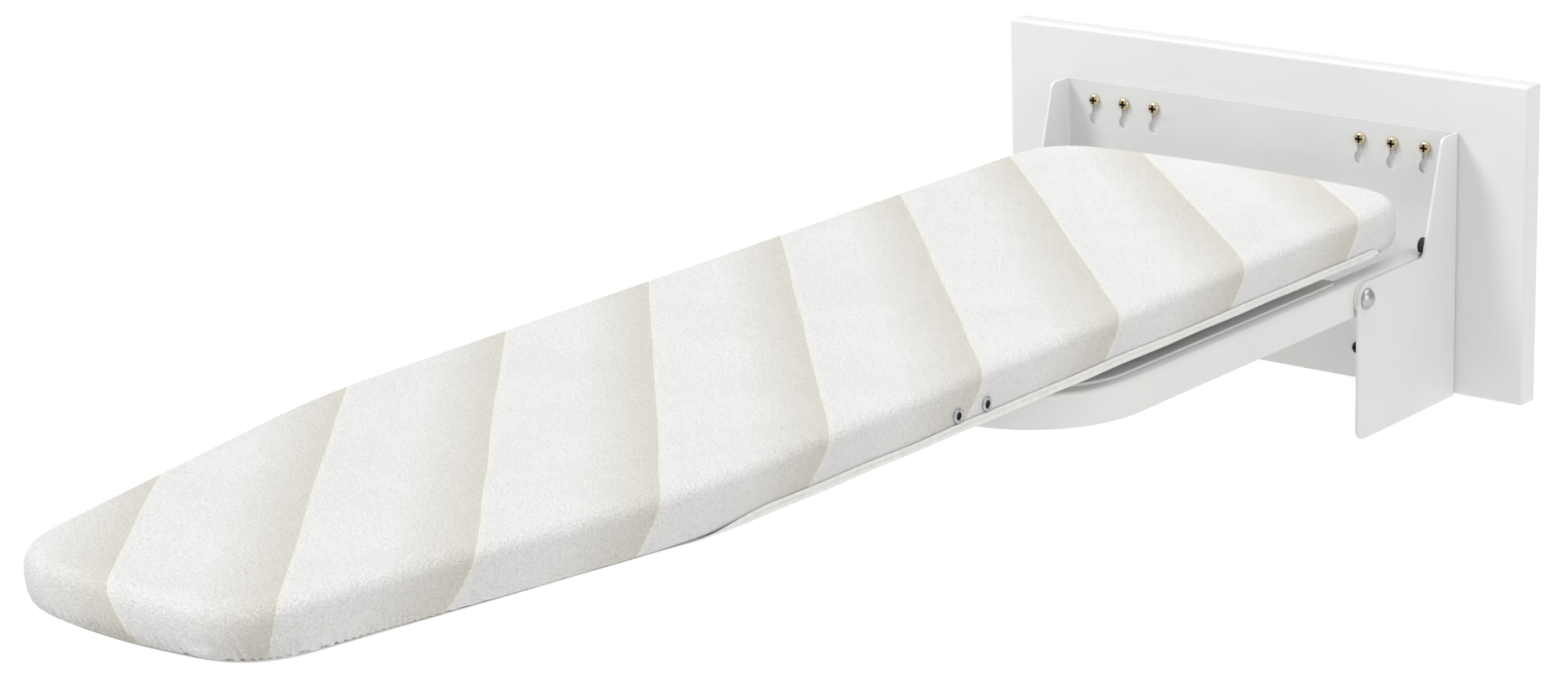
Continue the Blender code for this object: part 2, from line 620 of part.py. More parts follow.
def make_swivel(steel, nylon, arm_axis):
    base = prism(circle(SWIVEL.xy, BASE_PLATE_RADIUS, DISC_STEPS), along_z,
                 BASE_PLATE_TOP - SWIVEL_PLATE, BASE_PLATE_TOP)
    plate = add_piece("swivel_base_plate", base, steel, arm_axis, smooth=35)
    cut(plate, add_cutter("base_plate_holes", swivel_holes(True)))
    for number, (x, y) in enumerate(rivet_places(), 1):
        below = DECK_TOP - DECK_SHEET - GAP - BASE_PLATE_TOP
        profile = [(0, below - RIVET_TAIL_HEIGHT), (RIVET_TAIL_RADIUS, below - RIVET_TAIL_HEIGHT),
                   (RIVET_TAIL_RADIUS, below), (RIVET_SHANK_RADIUS, below),
                   (RIVET_SHANK_RADIUS, GAP)]
        profile += [(r, h + GAP) for r, h in dome(RIVET_HEAD_RADIUS, RIVET_HEAD_HEIGHT, 3)]
        rivet = turned(profile, (x, y, BASE_PLATE_TOP), steps=SMALL_STEPS)
        add_piece(f"base_rivet_{number}", rivet, steel, arm_axis, smooth=35)

    hole = SWIVEL_SHANK_RADIUS + HOLE_CLEARANCE
    disc = washer(hole, SLIP_DISC_RADIUS, SLIP_DISC_THICKNESS,
                  (0, SWIVEL.y, BASE_PLATE_TOP + GAP), steps=DISC_STEPS)
    add_piece("slip_disc", disc, nylon, arm_axis, smooth=35)

    seat = BEAM_BOTTOM + BEAM_SHEET + GAP
    under_deck = DECK_TOP - DECK_SHEET - GAP
    nut_top = under_deck - SWIVEL_WASHER_THICKNESS - GAP
    tip = nut_top - SWIVEL_NUT_HEIGHT - SWIVEL_BOLT_END - seat
    profile = shank(SWIVEL_SHANK_RADIUS, tip, 0) + dome(SWIVEL_HEAD_RADIUS, SWIVEL_HEAD_HEIGHT)
    bolt = turned(profile, (0, SWIVEL.y, seat))
    add_piece("swivel_bolt", bolt, steel, arm_axis, smooth=35)
    ring = washer(hole, SWIVEL_WASHER_RADIUS, SWIVEL_WASHER_THICKNESS,
                  (0, SWIVEL.y, under_deck - SWIVEL_WASHER_THICKNESS))
    add_piece("swivel_washer", ring, steel, arm_axis, smooth=35)
    add_nut("swivel_nut", SWIVEL_NUT_FLATS, SWIVEL_SHANK_RADIUS, SWIVEL.xy, along_z,
            (nut_top - SWIVEL_NUT_HEIGHT, nut_top), steel, arm_axis)


# ---------------------------------------------------------------- board
def past_crown(half_width, crown, radius):
    """How far two straight lines meet beyond the arc that rounds them off."""
    return radius * (1 / math.cos(math.atan(crown / half_width)) - 1)


def board_outline(inset):
    """The board from above, anticlockwise from the middle of its tail."""
    half_nose = NOSE_WIDTH / 2
    shoulder = TAIL - BOARD_LENGTH + TAPER_LENGTH
    tail = TAIL + past_crown(BOARD_SIDE, TAIL_CROWN, TAIL_CROWN_RADIUS)
    nose = TAIL - BOARD_LENGTH - past_crown(half_nose, NOSE_CROWN, NOSE_CROWN_RADIUS)
    corners = [(0, tail, TAIL_CROWN_RADIUS, 4),
               (-BOARD_SIDE, tail - TAIL_CROWN, TAIL_CORNER_RADIUS, 8),
               (-BOARD_SIDE, shoulder, TAPER_RADIUS, 5),
               (-half_nose, nose + NOSE_CROWN, NOSE_CORNER_RADIUS, 8),
               (0, nose, NOSE_CROWN_RADIUS, 4),
               (half_nose, nose + NOSE_CROWN, NOSE_CORNER_RADIUS, 8),
               (BOARD_SIDE, shoulder, TAPER_RADIUS, 5),
               (BOARD_SIDE, tail - TAIL_CROWN, TAIL_CORNER_RADIUS, 8)]
    return rounded(corners, inset)


def board_loops(section):
    return [[(x, y, height) for x, y in board_outline(inset)] for inset, height in section]


def cap_section(inset, top, edge, inner, wall, roof, foot, steps=3):
    """An upturned tray cut across: its outside from the top down, then its inside.

    edge and inner are the radii of its outer and inner upper corners.
    """
    quarter = [math.radians(90 * step / steps) for step in range(steps + 1)]
    outside = [(inset + edge * (1 - math.sin(a)), top - edge * (1 - math.cos(a)))
               for a in quarter]
    inside = [(inset + wall + inner * (1 - math.sin(a)), top - roof - inner * (1 - math.cos(a)))
              for a in quarter]
    return outside + [(inset, foot), (inset + wall, foot)] + inside[::-1]


def make_pan(steel, axis):
    section = cap_section(PAN_INSET, PAN_TOP, PAN_BEND, PAN_BEND - PAN_SHEET, PAN_SHEET,
                          PAN_SHEET, PAN_RIM)
    pan = add_piece("board_pan", loft(board_loops(section)), steel, axis, smooth=35)
    vents = bmesh.new()
    for side in (-1, 1):
        for row in range(VENT_ROWS):
            centre = (side * VENT_SIDE, TAIL - VENT_FIRST - row * VENT_PITCH)
            outline = circle(centre, VENT_RADIUS, 10)
            add_prism(vents, outline, along_z, PAN_BOTTOM - PAN_SHEET, PAN_TOP + PAN_SHEET)
    cut(pan, add_cutter("pan_vents", vents))


def make_beam(steel, axis):
    """The folded beam under the pan: a web, two walls and two turned-out flanges."""
    low, high = BEAM_BOTTOM, BEAM_BOTTOM + BEAM_HEIGHT
    side, sheet = BEAM_WEB / 2, BEAM_SHEET
    half = [(side, low), (side, high - sheet), (side + BEAM_FLANGE, high - sheet),
            (side + BEAM_FLANGE, high), (side - sheet, high), (side - sheet, low + sheet)]
    section = half + [(-x, z) for x, z in reversed(half)]
    shape = prism(section, along_y, TAIL - BEAM_FRONT, TAIL - BEAM_REAR)
    beam = add_piece("board_beam", shape, steel, axis)
    cut(beam, add_cutter("beam_bolt_hole", swivel_holes(False)))
    plate = washer(SWIVEL_SHANK_RADIUS + HOLE_CLEARANCE, TOP_PLATE_RADIUS, SWIVEL_PLATE,
                   (0, SWIVEL.y, SLIP_DISC_TOP + GAP), steps=DISC_STEPS)
    add_piece("swivel_top_plate", plate, steel, axis, smooth=35)


def make_pad(felt, axis):
    edge = COVER_EDGE - COVER_CLOTH
    foot = PAN_RIM + HEM_ROOM
    section = cap_section(PAD_INSET, PAD_SURFACE, edge, PAN_BEND, PAD_SIDE, PAD_TOP, foot)
    add_piece("felt_pad", loft(board_loops(section)), felt, axis, smooth=35)


def cover_section():
    """The cover cut across: over the top, down the side and under as a hem."""
    cloth = COVER_CLOTH
    quarter = [math.radians(30 * step) for step in range(4)]

    def run(inset, top, foot, edge, bend):
        upper = [(inset + edge * (1 - math.sin(a)), top - edge * (1 - math.cos(a)))
                 for a in quarter]
        lower = [(inset + bend * (1 - math.cos(a)), foot + bend * (1 - math.sin(a)))
                 for a in quarter]
        return upper + lower + [(HEM_RETURN, foot)]

    outside = run(0, COVER_TOP, HEM_BOTTOM, COVER_EDGE, HEM_BEND)
    inside = run(cloth, COVER_TOP - cloth, HEM_BOTTOM + cloth, COVER_EDGE - cloth,
                 HEM_BEND - cloth)
    return outside + inside[::-1]


def make_cover(cotton, elastic, zinc, axis):
    add_piece("cotton_cover", loft(board_loops(cover_section())), cotton, axis, smooth=35)

    centre = HEM_RETURN - ELASTIC_RADIUS
    height = HEM_BOTTOM + COVER_CLOTH + GAP + ELASTIC_RADIUS
    around = [math.radians(60 * step) for step in range(6)]
    section = [(centre + ELASTIC_RADIUS * math.cos(a), height + ELASTIC_RADIUS * math.sin(a))
               for a in around]
    shape = loft(board_loops(section), cyclic=True)
    add_piece("hem_elastic", shape, elastic, axis, smooth=70)

    for number, from_tail in enumerate(EYELET_FROM_TAIL, 1):
        place = (BOARD_SIDE + GAP, TAIL - from_tail, HEM_BOTTOM + EYELET_HEIGHT)
        rim = EYELET_THICKNESS
        profile = [(EYELET_HOLE, 0), (EYELET_RADIUS, 0), (EYELET_RADIUS - rim * 0.25, rim * 0.6),
                   (EYELET_RADIUS - rim * 0.9, rim), (EYELET_HOLE + rim * 0.4, rim * 0.75),
                   (EYELET_HOLE, rim * 0.35)]
        ring = turned(profile, place, (1, 0, 0), ring=True)
        add_piece(f"cover_eyelet_{number}", ring, zinc, axis, smooth=50)


def build():
    clear_scene()
    board_paint = make_material("panel_paint", (0.83, 0.83, 0.84), 0.45)
    white = make_material("white_powder_coat", (0.84, 0.85, 0.85), 0.35)
    yellow = make_material("yellow_zinc", (0.72, 0.60, 0.36), 0.35, 1.0)
    black = make_material("black_zinc", (0.05, 0.05, 0.05), 0.45, 0.8)
    bright = make_material("bright_zinc", (0.62, 0.63, 0.65), 0.35, 1.0)
    nylon = make_material("nylon", (0.88, 0.87, 0.83), 0.5)
    rubber = make_material("rubber", (0.04, 0.04, 0.04), 0.8)
    felt = make_material("felt", (0.80, 0.79, 0.76), 0.95)
    cotton = make_material("cotton", (0.86, 0.85, 0.84), 0.85)
    elastic = make_material("elastic", (0.90, 0.90, 0.88), 0.8)

    arm_axis = make_empty("arm_fold_axis", PIVOT)
    board_axis = make_empty("board_swivel_axis", SWIVEL, arm_axis)

    make_panel(board_paint)
    make_bracket(white)
    for name, x, z in screw_places():
        make_screw(name, x, z, yellow)
    for name, x, z in lower_screw_places():
        make_screw(name, x, z, black)
    make_pivots(bright, nylon)
    make_stops(bright, rubber)
    make_arm(white, arm_axis)
    make_swivel(bright, nylon, arm_axis)
    make_pan(white, board_axis)
    make_beam(white, board_axis)
    make_pad(felt, board_axis)
    make_cover(cotton, elastic, bright, board_axis)


build()
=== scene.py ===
"""The looks of a wall-mounted fold-up ironing board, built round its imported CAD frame.

Everything is in metres in the frame's own axes: +Z up, +Y into the wall, -Y to the room.
"""
import functools
import math

import bmesh
import bpy
import numpy as np
from mathutils import Euler, Matrix, Vector, geometry, noise


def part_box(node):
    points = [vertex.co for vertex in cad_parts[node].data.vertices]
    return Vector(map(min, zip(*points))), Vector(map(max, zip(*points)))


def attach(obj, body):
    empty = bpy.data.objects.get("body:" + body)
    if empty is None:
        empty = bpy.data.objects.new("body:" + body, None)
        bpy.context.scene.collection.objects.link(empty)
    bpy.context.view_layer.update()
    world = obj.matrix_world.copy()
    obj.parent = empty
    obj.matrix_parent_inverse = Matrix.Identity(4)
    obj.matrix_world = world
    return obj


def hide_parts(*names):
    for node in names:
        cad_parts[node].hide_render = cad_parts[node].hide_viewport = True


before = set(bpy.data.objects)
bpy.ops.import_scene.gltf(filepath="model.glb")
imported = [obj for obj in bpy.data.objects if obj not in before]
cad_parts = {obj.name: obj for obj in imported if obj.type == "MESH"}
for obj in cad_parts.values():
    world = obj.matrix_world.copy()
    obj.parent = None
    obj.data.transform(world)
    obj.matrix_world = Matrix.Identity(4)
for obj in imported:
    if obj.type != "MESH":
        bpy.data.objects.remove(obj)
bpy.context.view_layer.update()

MM = 0.001

# ---------------------------------------------------------------- the cover's sizes
EDGE_ROUND = 11.0 * MM        # of the cover's upper edge
HEM_ROUND = 3.0 * MM
HEM_RETURN = 21.0 * MM        # of cloth under the board
CLOTH = 0.7 * MM
CLOTH_CELL = 5.0 * MM         # of the woven grid before it is subdivided
LINE_STEP = 4.0 * MM          # along the board's outline
CASING_WIDTH = 10.0 * MM      # of the tape that is sewn along the hem
CASING_TUCK = 9.5 * MM        # further under the board at the nose and tail
STITCH_PITCH = 4.2 * MM
PLEAT_PITCH = 6.6 * MM        # of the gathers round the ends
PLEAT_DEPTH = 1.5 * MM
GATHER_RISE = 15.0 * MM       # above the hem
UNDERCUT = 2.3 * MM
CREASES = [                   # from, to and height, on the top of the cover
    ((0.030, -0.560), (0.010, -0.810), 0.45 * MM), ((0.062, -0.590), (0.048, -0.760), 0.35 * MM),
    ((-0.015, -0.690), (-0.030, -0.930), 0.35 * MM), ((0.090, -0.480), (0.085, -0.640), 0.30 * MM),
    ((-0.090, -0.300), (-0.080, -0.520), 0.30 * MM), ((0.020, -0.150), (0.045, -0.330), 0.30 * MM),
    ((0.100, -0.820), (0.080, -0.960), 0.40 * MM), ((-0.070, -0.960), (0.010, -1.030), 0.30 * MM)]

SHEET = 2.0 * MM              # of the bracket, arm and deck
SOFT_EDGE = 0.35 * MM         # rounding of a cut steel edge


# ---------------------------------------------------------------- mesh tools
@functools.cache
def box(node):
    """A node's lowest and highest corners at rest."""
    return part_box(node)


def lows(node):
    return box(node)[0]


def highs(node):
    return box(node)[1]


def add_object(name, mesh):
    piece = bpy.data.objects.new(name, mesh)
    bpy.context.collection.objects.link(piece)
    return piece


def to_mesh(name, shape, smooth=30):
    mesh = bpy.data.meshes.new(name)
    shape.to_mesh(mesh)
    shape.free()
    mesh.shade_smooth()
    mesh.set_sharp_from_angle(angle=math.radians(smooth))
    return mesh


def place_piece(piece, body, finish, stands_for=()):
    """Give a piece its finish, let it ride on a body and stand for CAD nodes."""
    piece.data.materials.clear()
    piece.data.materials.append(finish)
    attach(piece, body)
    if stands_for:
        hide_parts(*stands_for)
    return piece


def bake_modifiers(piece):
    """Put what the modifiers make into the piece's own mesh."""
    seen = piece.evaluated_get(bpy.context.evaluated_depsgraph_get())
    mesh = bpy.data.meshes.new_from_object(seen)
    piece.modifiers.clear()
    piece.data = mesh


def cut_away(piece, shapes):
    """Cut closed shapes out of a piece."""
    for number, shape in enumerate(shapes):
        bmesh.ops.recalc_face_normals(shape, faces=shape.faces)
        mesh = bpy.data.meshes.new("cutter")
        shape.to_mesh(mesh)
        shape.free()
        cutter = add_object(f"cutter_{number}", mesh)
        change = piece.modifiers.new("cut", "BOOLEAN")
        change.operation = "DIFFERENCE"
        change.solver = "EXACT"
        change.object = cutter
        bake_modifiers(piece)
        bpy.data.objects.remove(cutter)


def soften(piece, width=SOFT_EDGE, segments=2, angle=35):
    """A small rounding on every sharp edge, as a stamped or coated part has."""
    change = piece.modifiers.new("soft_edges", "BEVEL")
    change.width = width
    change.segments = segments
    change.limit_method = "ANGLE"
    change.angle_limit = math.radians(angle)
    change.harden_normals = True
    return change


def bevel_corners(shape, corners, radius, segments):
    """Round corners of a flat face; corners are points that its vertices stand at."""
    verts = [v for v in shape.verts
             if any((v.co - Vector(corner)).length < 1e-5 for corner in corners)]
    bmesh.ops.bevel(shape, geom=verts, offset=radius, segments=segments, profile=0.5,
                    affect="VERTICES", material=-1)


def bevel_edges(shape, edges, radius, segments):
    bmesh.ops.bevel(shape, geom=edges, offset=radius, segments=segments, profile=0.5,
                    affect="EDGES", material=-1, clamp_overlap=True)


def face_of(shape, points):
    return shape.faces.new([shape.verts.new(point) for point in points])


def pushed(shape, faces, step):
    """Extrude faces, move the new ones by a step and return them."""
    grown = bmesh.ops.extrude_face_region(shape, geom=list(faces))["geom"]
    verts = [g for g in grown if isinstance(g, bmesh.types.BMVert)]
    bmesh.ops.translate(shape, verts=verts, vec=step)
    return [g for g in grown if isinstance(g, bmesh.types.BMFace)]


def pulled(shape, edges, step):
    """Extrude edges, move the new ones by a step and return them."""
    grown = bmesh.ops.extrude_edge_only(shape, edges=list(edges))["geom"]
    verts = [g for g in grown if isinstance(g, bmesh.types.BMVert)]
    bmesh.ops.translate(shape, verts=verts, vec=step)
    return [g for g in grown if isinstance(g, bmesh.types.BMEdge)]


def block(low, high):
    shape = bmesh.new()
    low, high = Vector(low), Vector(high)
    size = high - low
    matrix = Matrix.Translation((low + high) / 2) @ Matrix.Diagonal((*size, 1))
    bmesh.ops.create_cube(shape, size=1, matrix=matrix)
    return shape


def rod(start, end, radius, sides=32):
    """A closed cylinder between two points."""
    shape = bmesh.new()
    start, end = Vector(start), Vector(end)
    along = end - start
    turn = Vector((0, 0, 1)).rotation_difference(along).to_matrix().to_4x4()
    bmesh.ops.create_cone(shape, cap_ends=True, segments=sides, radius1=radius,
                          radius2=radius, depth=along.length,
                          matrix=Matrix.Translation((start + end) / 2) @ turn)
    return shape


def spun(profile, place, axis, steps=40):
    """Spin a profile of (radius, height) about an axis that stands on a place."""
    shape = bmesh.new()
    verts = [shape.verts.new((radius, 0, height)) for radius, height in profile]
    edges = [shape.edges.new(pair) for pair in zip(verts, verts[1:])]
    bmesh.ops.spin(shape, geom=verts + edges, cent=(0, 0, 0), axis=(0, 0, 1),
                   angle=2 * math.pi, steps=steps, use_merge=True)
    bmesh.ops.remove_doubles(shape, verts=shape.verts, dist=1e-6)
    turn = Vector((0, 0, 1)).rotation_difference(Vector(axis)).to_matrix()
    bmesh.ops.rotate(shape, verts=shape.verts, cent=(0, 0, 0), matrix=turn)
    bmesh.ops.translate(shape, verts=shape.verts, vec=place)
    bmesh.ops.recalc_face_normals(shape, faces=shape.faces)
    return shape


def arc(centre_radius, centre_height, radius, first, last, steps=6):
    """Points of a profile along an arc, its angles in degrees from the radius axis."""
    angles = [math.radians(first + (last - first) * step / steps) for step in range(steps + 1)]
    return [(centre_radius + radius * math.cos(a), centre_height + radius * math.sin(a))
            for a in angles]


# ---------------------------------------------------------------- material tools
class Finish:
    """A node material that is built up from plain calls."""

    def __init__(self, name, roughness, metallic=0.0, **sockets):
        self.material = bpy.data.materials.new(name)
        self.material.use_nodes = True
        self.tree = self.material.node_tree
        self.shader = self.tree.nodes["Principled BSDF"]
        self.shader.inputs["Roughness"].default_value = roughness
        self.shader.inputs["Metallic"].default_value = metallic
        for socket, value in sockets.items():
            self.shader.inputs[socket.replace("_", " ")].default_value = value
        self.height = None

    def node(self, kind, inputs, output=0, **settings):
        made = self.tree.nodes.new(kind)
        for key, value in settings.items():
            setattr(made, key, value)
        for key, value in inputs.items():
            if isinstance(value, bpy.types.NodeSocket):
                self.tree.links.new(value, made.inputs[key])
            else:
                made.inputs[key].default_value = value
        return made.outputs[output]

    def place(self, scale=(1, 1, 1), turn=(0, 0, 0), source="Object"):
        where = self.node("ShaderNodeTexCoord", {}, source)
        return self.node("ShaderNodeMapping", {"Vector": where, "Scale": scale,
                                               "Rotation": turn})

    def uv(self):
        return self.node("ShaderNodeTexCoord", {}, "UV")

    def split(self, vector):
        made = self.tree.nodes.new("ShaderNodeSeparateXYZ")
        self.tree.links.new(vector, made.inputs[0])
        return made.outputs

    def math(self, operation, a, b=0.0, c=0.0):
        return self.node("ShaderNodeMath", {0: a, 1: b, 2: c}, operation=operation)

    def noise(self, where, scale, detail=2.0, roughness=0.5, distortion=0.0):
        return self.node("ShaderNodeTexNoise", {"Vector": where, "Scale": scale,
                                                "Detail": detail, "Roughness": roughness,
                                                "Distortion": distortion})

    def cells(self, where, scale, feature="F1", output="Distance", randomness=1.0):
        return self.node("ShaderNodeTexVoronoi", {"Vector": where, "Scale": scale,
                                                  "Randomness": randomness}, output,
                         feature=feature)

    def fit(self, value, low, high, to_low=0.0, to_high=1.0, smooth=True):
        kind = "SMOOTHSTEP" if smooth else "LINEAR"
        return self.node("ShaderNodeMapRange",
                         {"Value": value, "From Min": low, "From Max": high,
                          "To Min": to_low, "To Max": to_high}, interpolation_type=kind)

    def mix(self, share, first, second):
        def colour(value):
            return value if isinstance(value, bpy.types.NodeSocket) else (*value, 1.0)
        return self.node("ShaderNodeMix", {0: share, 6: colour(first), 7: colour(second)}, 2,
                         data_type="RGBA")

    def paint(self, colour):
        self.tree.links.new(colour, self.shader.inputs["Base Color"])

    def rough(self, value):
        self.tree.links.new(value, self.shader.inputs["Roughness"])

    def emboss(self, height, depth):
        """Add a height pattern, 0 to 1 high, that stands up by a depth in metres."""
        inputs = {"Strength": 1.0, "Distance": depth, "Height": height}
        if self.height:
            inputs["Normal"] = self.height
        self.height = self.node("ShaderNodeBump", inputs)
        self.tree.links.new(self.height, self.shader.inputs["Normal"])
        return self


# ---------------------------------------------------------------- finishes
def powder_coat(name, light, shade, grain=900.0):
    """White powder coat: a fine orange peel, thinner and greyer along worn edges."""
    finish = Finish(name, 0.38, Coat_Weight=0.12, Coat_Roughness=0.25)
    where = finish.place()
    cloud = finish.noise(where, 9.0, 3.0)
    speck = finish.fit(finish.noise(where, 2600.0, 1.0), 0.70, 0.82)
    colour = finish.mix(finish.fit(cloud, 0.35, 0.65), light, shade)
    dust = tuple(c * 0.90 for c in shade)
    colour = finish.mix(finish.math("MULTIPLY", speck, 0.25), colour, dust)
    wear = finish.node("ShaderNodeNewGeometry", {}, "Pointiness")
    edge = finish.fit(wear, 0.53, 0.62)
    patch = finish.fit(finish.noise(where, 60.0, 3.0), 0.45, 0.65)
    worn = finish.math("MULTIPLY", finish.math("MULTIPLY", edge, patch), 0.35)
    finish.paint(finish.mix(worn, colour, (0.62, 0.62, 0.61)))
    finish.rough(finish.fit(finish.noise(where, 140.0, 2.0), 0.3, 0.7, 0.33, 0.46))
    finish.emboss(finish.noise(where, grain, 2.0, 0.4), 0.06 * MM)
    finish.emboss(finish.noise(where, grain / 6, 1.0), 0.10 * MM)
    return finish.material


def lacquered_board():
    """The back panel's satin lacquer over a fine-grained board."""
    finish = Finish("panel_lacquer", 0.42, Coat_Weight=0.08, Coat_Roughness=0.3)
    where = finish.place()
    along = finish.place((1.0, 1.0, 14.0))
    cloud = finish.noise(where, 6.0, 3.0)
    colour = finish.mix(finish.fit(cloud, 0.3, 0.7), (0.79, 0.79, 0.795), (0.765, 0.765, 0.765))
    brush = finish.noise(along, 90.0, 3.0)
    faint = finish.math("MULTIPLY", finish.fit(brush, 0.45, 0.75), 0.12)
    finish.paint(finish.mix(faint, colour, (0.70, 0.70, 0.69)))
    finish.rough(finish.fit(brush, 0.3, 0.7, 0.38, 0.50))
    finish.emboss(brush, 0.05 * MM)
    finish.emboss(finish.noise(where, 1200.0, 1.0), 0.03 * MM)
    return finish.material


def plated(name, colour, tint, roughness):
    """Zinc-plated steel: a cloudy tint and tiny crystals."""
    finish = Finish(name, roughness, 1.0)
    where = finish.place()
    cloud = finish.fit(finish.noise(where, 420.0, 3.0), 0.35, 0.65)
    crystal = finish.cells(where, 2200.0)
    colour = finish.mix(cloud, colour, tint)
    dark = tuple(c * 0.72 for c in tint)
    finish.paint(finish.mix(finish.fit(crystal, 0.1, 0.6, 0.0, 0.35), colour, dark))
    finish.rough(finish.fit(crystal, 0.0, 0.6, roughness - 0.08, roughness + 0.12))
    finish.emboss(crystal, 0.02 * MM)
    return finish.material


def moulded(name, light, shade, roughness, grain):
    """Moulded nylon or rubber with a fine spark-eroded skin."""
    finish = Finish(name, roughness)
    where = finish.place()
    cloud = finish.fit(finish.noise(where, 60.0, 2.0), 0.35, 0.65)
    finish.paint(finish.mix(cloud, light, shade))
    skin = finish.cells(where, grain)
    finish.rough(finish.fit(skin, 0.0, 0.7, roughness - 0.06, roughness + 0.08))
    finish.emboss(skin, 0.04 * MM)
    return finish.material


def needle_felt():
    """The pad: matted fibres, lying mostly flat."""
    finish = Finish("needle_felt", 0.95, Sheen_Weight=0.3, Sheen_Roughness=0.6)
    where = finish.place()
    fibre = finish.noise(finish.place((1.0, 5.0, 1.0)), 500.0, 4.0, 0.7, 2.0)
    cross = finish.noise(finish.place((5.0, 1.0, 1.0)), 450.0, 4.0, 0.7, 2.0)
    mat = finish.math("MAXIMUM", fibre, cross)
    fleck = finish.fit(finish.cells(where, 240.0), 0.02, 0.10, 1.0, 0.0)
    colour = finish.mix(finish.fit(mat, 0.45, 0.75), (0.70, 0.69, 0.66), (0.84, 0.83, 0.80))
    finish.paint(finish.mix(finish.math("MULTIPLY", fleck, 0.5), colour, (0.45, 0.47, 0.52)))
    finish.emboss(mat, 0.5 * MM)
    return finish.material


def plain_weave(finish, where, pitch, depth):
    """Over-and-under threads on a flat pattern, as a height from 0 to 1."""
    u, v, _ = finish.split(where)
    wobble = finish.math("MULTIPLY", finish.noise(where, 220.0, 2.0), pitch * 1.2)
    turns = 2 * math.pi / pitch
    warp = finish.math("SINE", finish.math("MULTIPLY", finish.math("ADD", u, wobble), turns))
    weft = finish.math("SINE", finish.math("MULTIPLY", finish.math("ADD", v, wobble), turns))
    height = finish.fit(finish.math("MULTIPLY", warp, weft), -1.0, 1.0)
    finish.emboss(height, depth)
    return height


def striped_cotton():
    """White terry-faced cotton with slanting beige bands that fade towards the nose."""
    finish = Finish("striped_cotton", 0.92, Sheen_Weight=0.22, Sheen_Roughness=0.5)
    where = finish.uv()
    x, y, _ = finish.split(where)
    wave = finish.noise(where, 7.0, 1.0)
    sway = finish.math("MULTIPLY", finish.math("SUBTRACT", wave, 0.5), 0.006)
    # each band's edge is a straight line y = v + slope * x, a little steeper at the nose
    top = finish.math("MULTIPLY_ADD", x, 0.908, finish.math("ADD", y, sway))
    line = finish.math("DIVIDE", top, finish.math("MULTIPLY_ADD", x, 0.33, 1.0))
    far = finish.math("ADD", line, 0.127)
    number = finish.math("MULTIPLY", far, finish.math("MULTIPLY_ADD", far, 0.38, 7.38))
    share = finish.math("FRACT", number)
    print_edge = finish.math("MULTIPLY_ADD", finish.noise(where, 900.0, 2.0), 0.05, -0.025)
    soft = finish.math("ADD", share, print_edge)
    ink = finish.fit(soft, 0.52, 0.95, 0.0, 1.0, smooth=False)
    grain = finish.noise(where, 1500.0, 3.0, 0.6)
    ink = finish.math("MULTIPLY", ink, finish.fit(grain, 0.30, 0.60, 0.72, 1.06))
    trim = finish.math("LESS_THAN", share, 0.040)
    white = finish.mix(finish.fit(finish.noise(where, 12.0, 3.0), 0.35, 0.65),
                       (0.835, 0.835, 0.84), (0.805, 0.805, 0.81))
    colour = finish.mix(trim, white, (0.84, 0.835, 0.79))
    colour = finish.mix(ink, colour, (0.675, 0.650, 0.590))
    tuft = finish.fit(finish.noise(where, 430.0, 2.0, 0.7), 0.35, 0.65)
    pile = finish.fit(finish.noise(where, 1100.0, 3.0, 0.65), 0.3, 0.7)
    worn = finish.math("MULTIPLY_ADD", tuft, 0.09, finish.math("MULTIPLY", pile, 0.09))
    finish.paint(finish.mix(worn, colour, (0.52, 0.51, 0.49)))
    plain_weave(finish, where, 1.1 * MM, 0.10 * MM)
    finish.emboss(pile, 0.22 * MM)
    finish.emboss(tuft, 0.35 * MM)
    finish.emboss(finish.noise(where, 130.0, 3.0), 0.45 * MM)
    return finish.material


def hem_tape():
    """The casing's twill tape: slanting ribs that follow the strip."""
    finish = Finish("hem_tape", 0.88, Sheen_Weight=0.2, Sheen_Roughness=0.5)
    where = finish.uv()
    u, v, _ = finish.split(where)
    slant = finish.math("ADD", u, v)
    rib = finish.math("SINE", finish.math("MULTIPLY", slant, 2 * math.pi / (0.9 * MM)))
    height = finish.fit(rib, -1.0, 1.0)
    mottle = finish.fit(finish.noise(where, 160.0, 3.0), 0.35, 0.65)
    colour = finish.mix(mottle, (0.88, 0.88, 0.88), (0.82, 0.82, 0.815))
    finish.paint(finish.mix(finish.math("MULTIPLY", height, 0.10), colour, (0.62, 0.62, 0.61)))
    finish.emboss(height, 0.12 * MM)
    return finish.material


def braided(name, light, dark, pitch):
    """Round braid: two sets of strands that cross, on a strip's own lengthwise map."""
    finish = Finish(name, 0.8, Sheen_Weight=0.15)
    where = finish.uv()
    u, v, _ = finish.split(where)
    turns = 2 * math.pi / pitch
    left = finish.math("SINE", finish.math("MULTIPLY", finish.math("ADD", u, v), turns))
    right = finish.math("SINE", finish.math("MULTIPLY", finish.math("SUBTRACT", u, v), turns))
    height = finish.fit(finish.math("MAXIMUM", left, right), -0.4, 1.0)
    # The colour is darkest in the hollows between the strands: painted shade; the strands carry the
    # light colour.
    finish.paint(finish.mix(height, dark, light))
    finish.emboss(height, 0.2 * MM)
    return finish.material


def floor_paint():
    finish = Finish("studio_floor", 0.9)
    where = finish.place()
    cloud = finish.fit(finish.noise(where, 0.8, 2.0), 0.3, 0.7)
    finish.paint(finish.mix(cloud, (0.80, 0.795, 0.785), (0.785, 0.78, 0.77)))
    return finish.material


# ---------------------------------------------------------------- wall side
def make_panel(lacquer):
    low, high = box("back_panel")
    shape = block(low, high)
    bevel_edges(shape, list(shape.edges), 2.5 * MM, 6)
    piece = add_object("back_panel_board", to_mesh("back_panel_board", shape, 60))
    place_piece(piece, "bracket", lacquer, ["back_panel"])


def screw_nodes(word):
    return sorted(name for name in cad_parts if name.startswith(word))


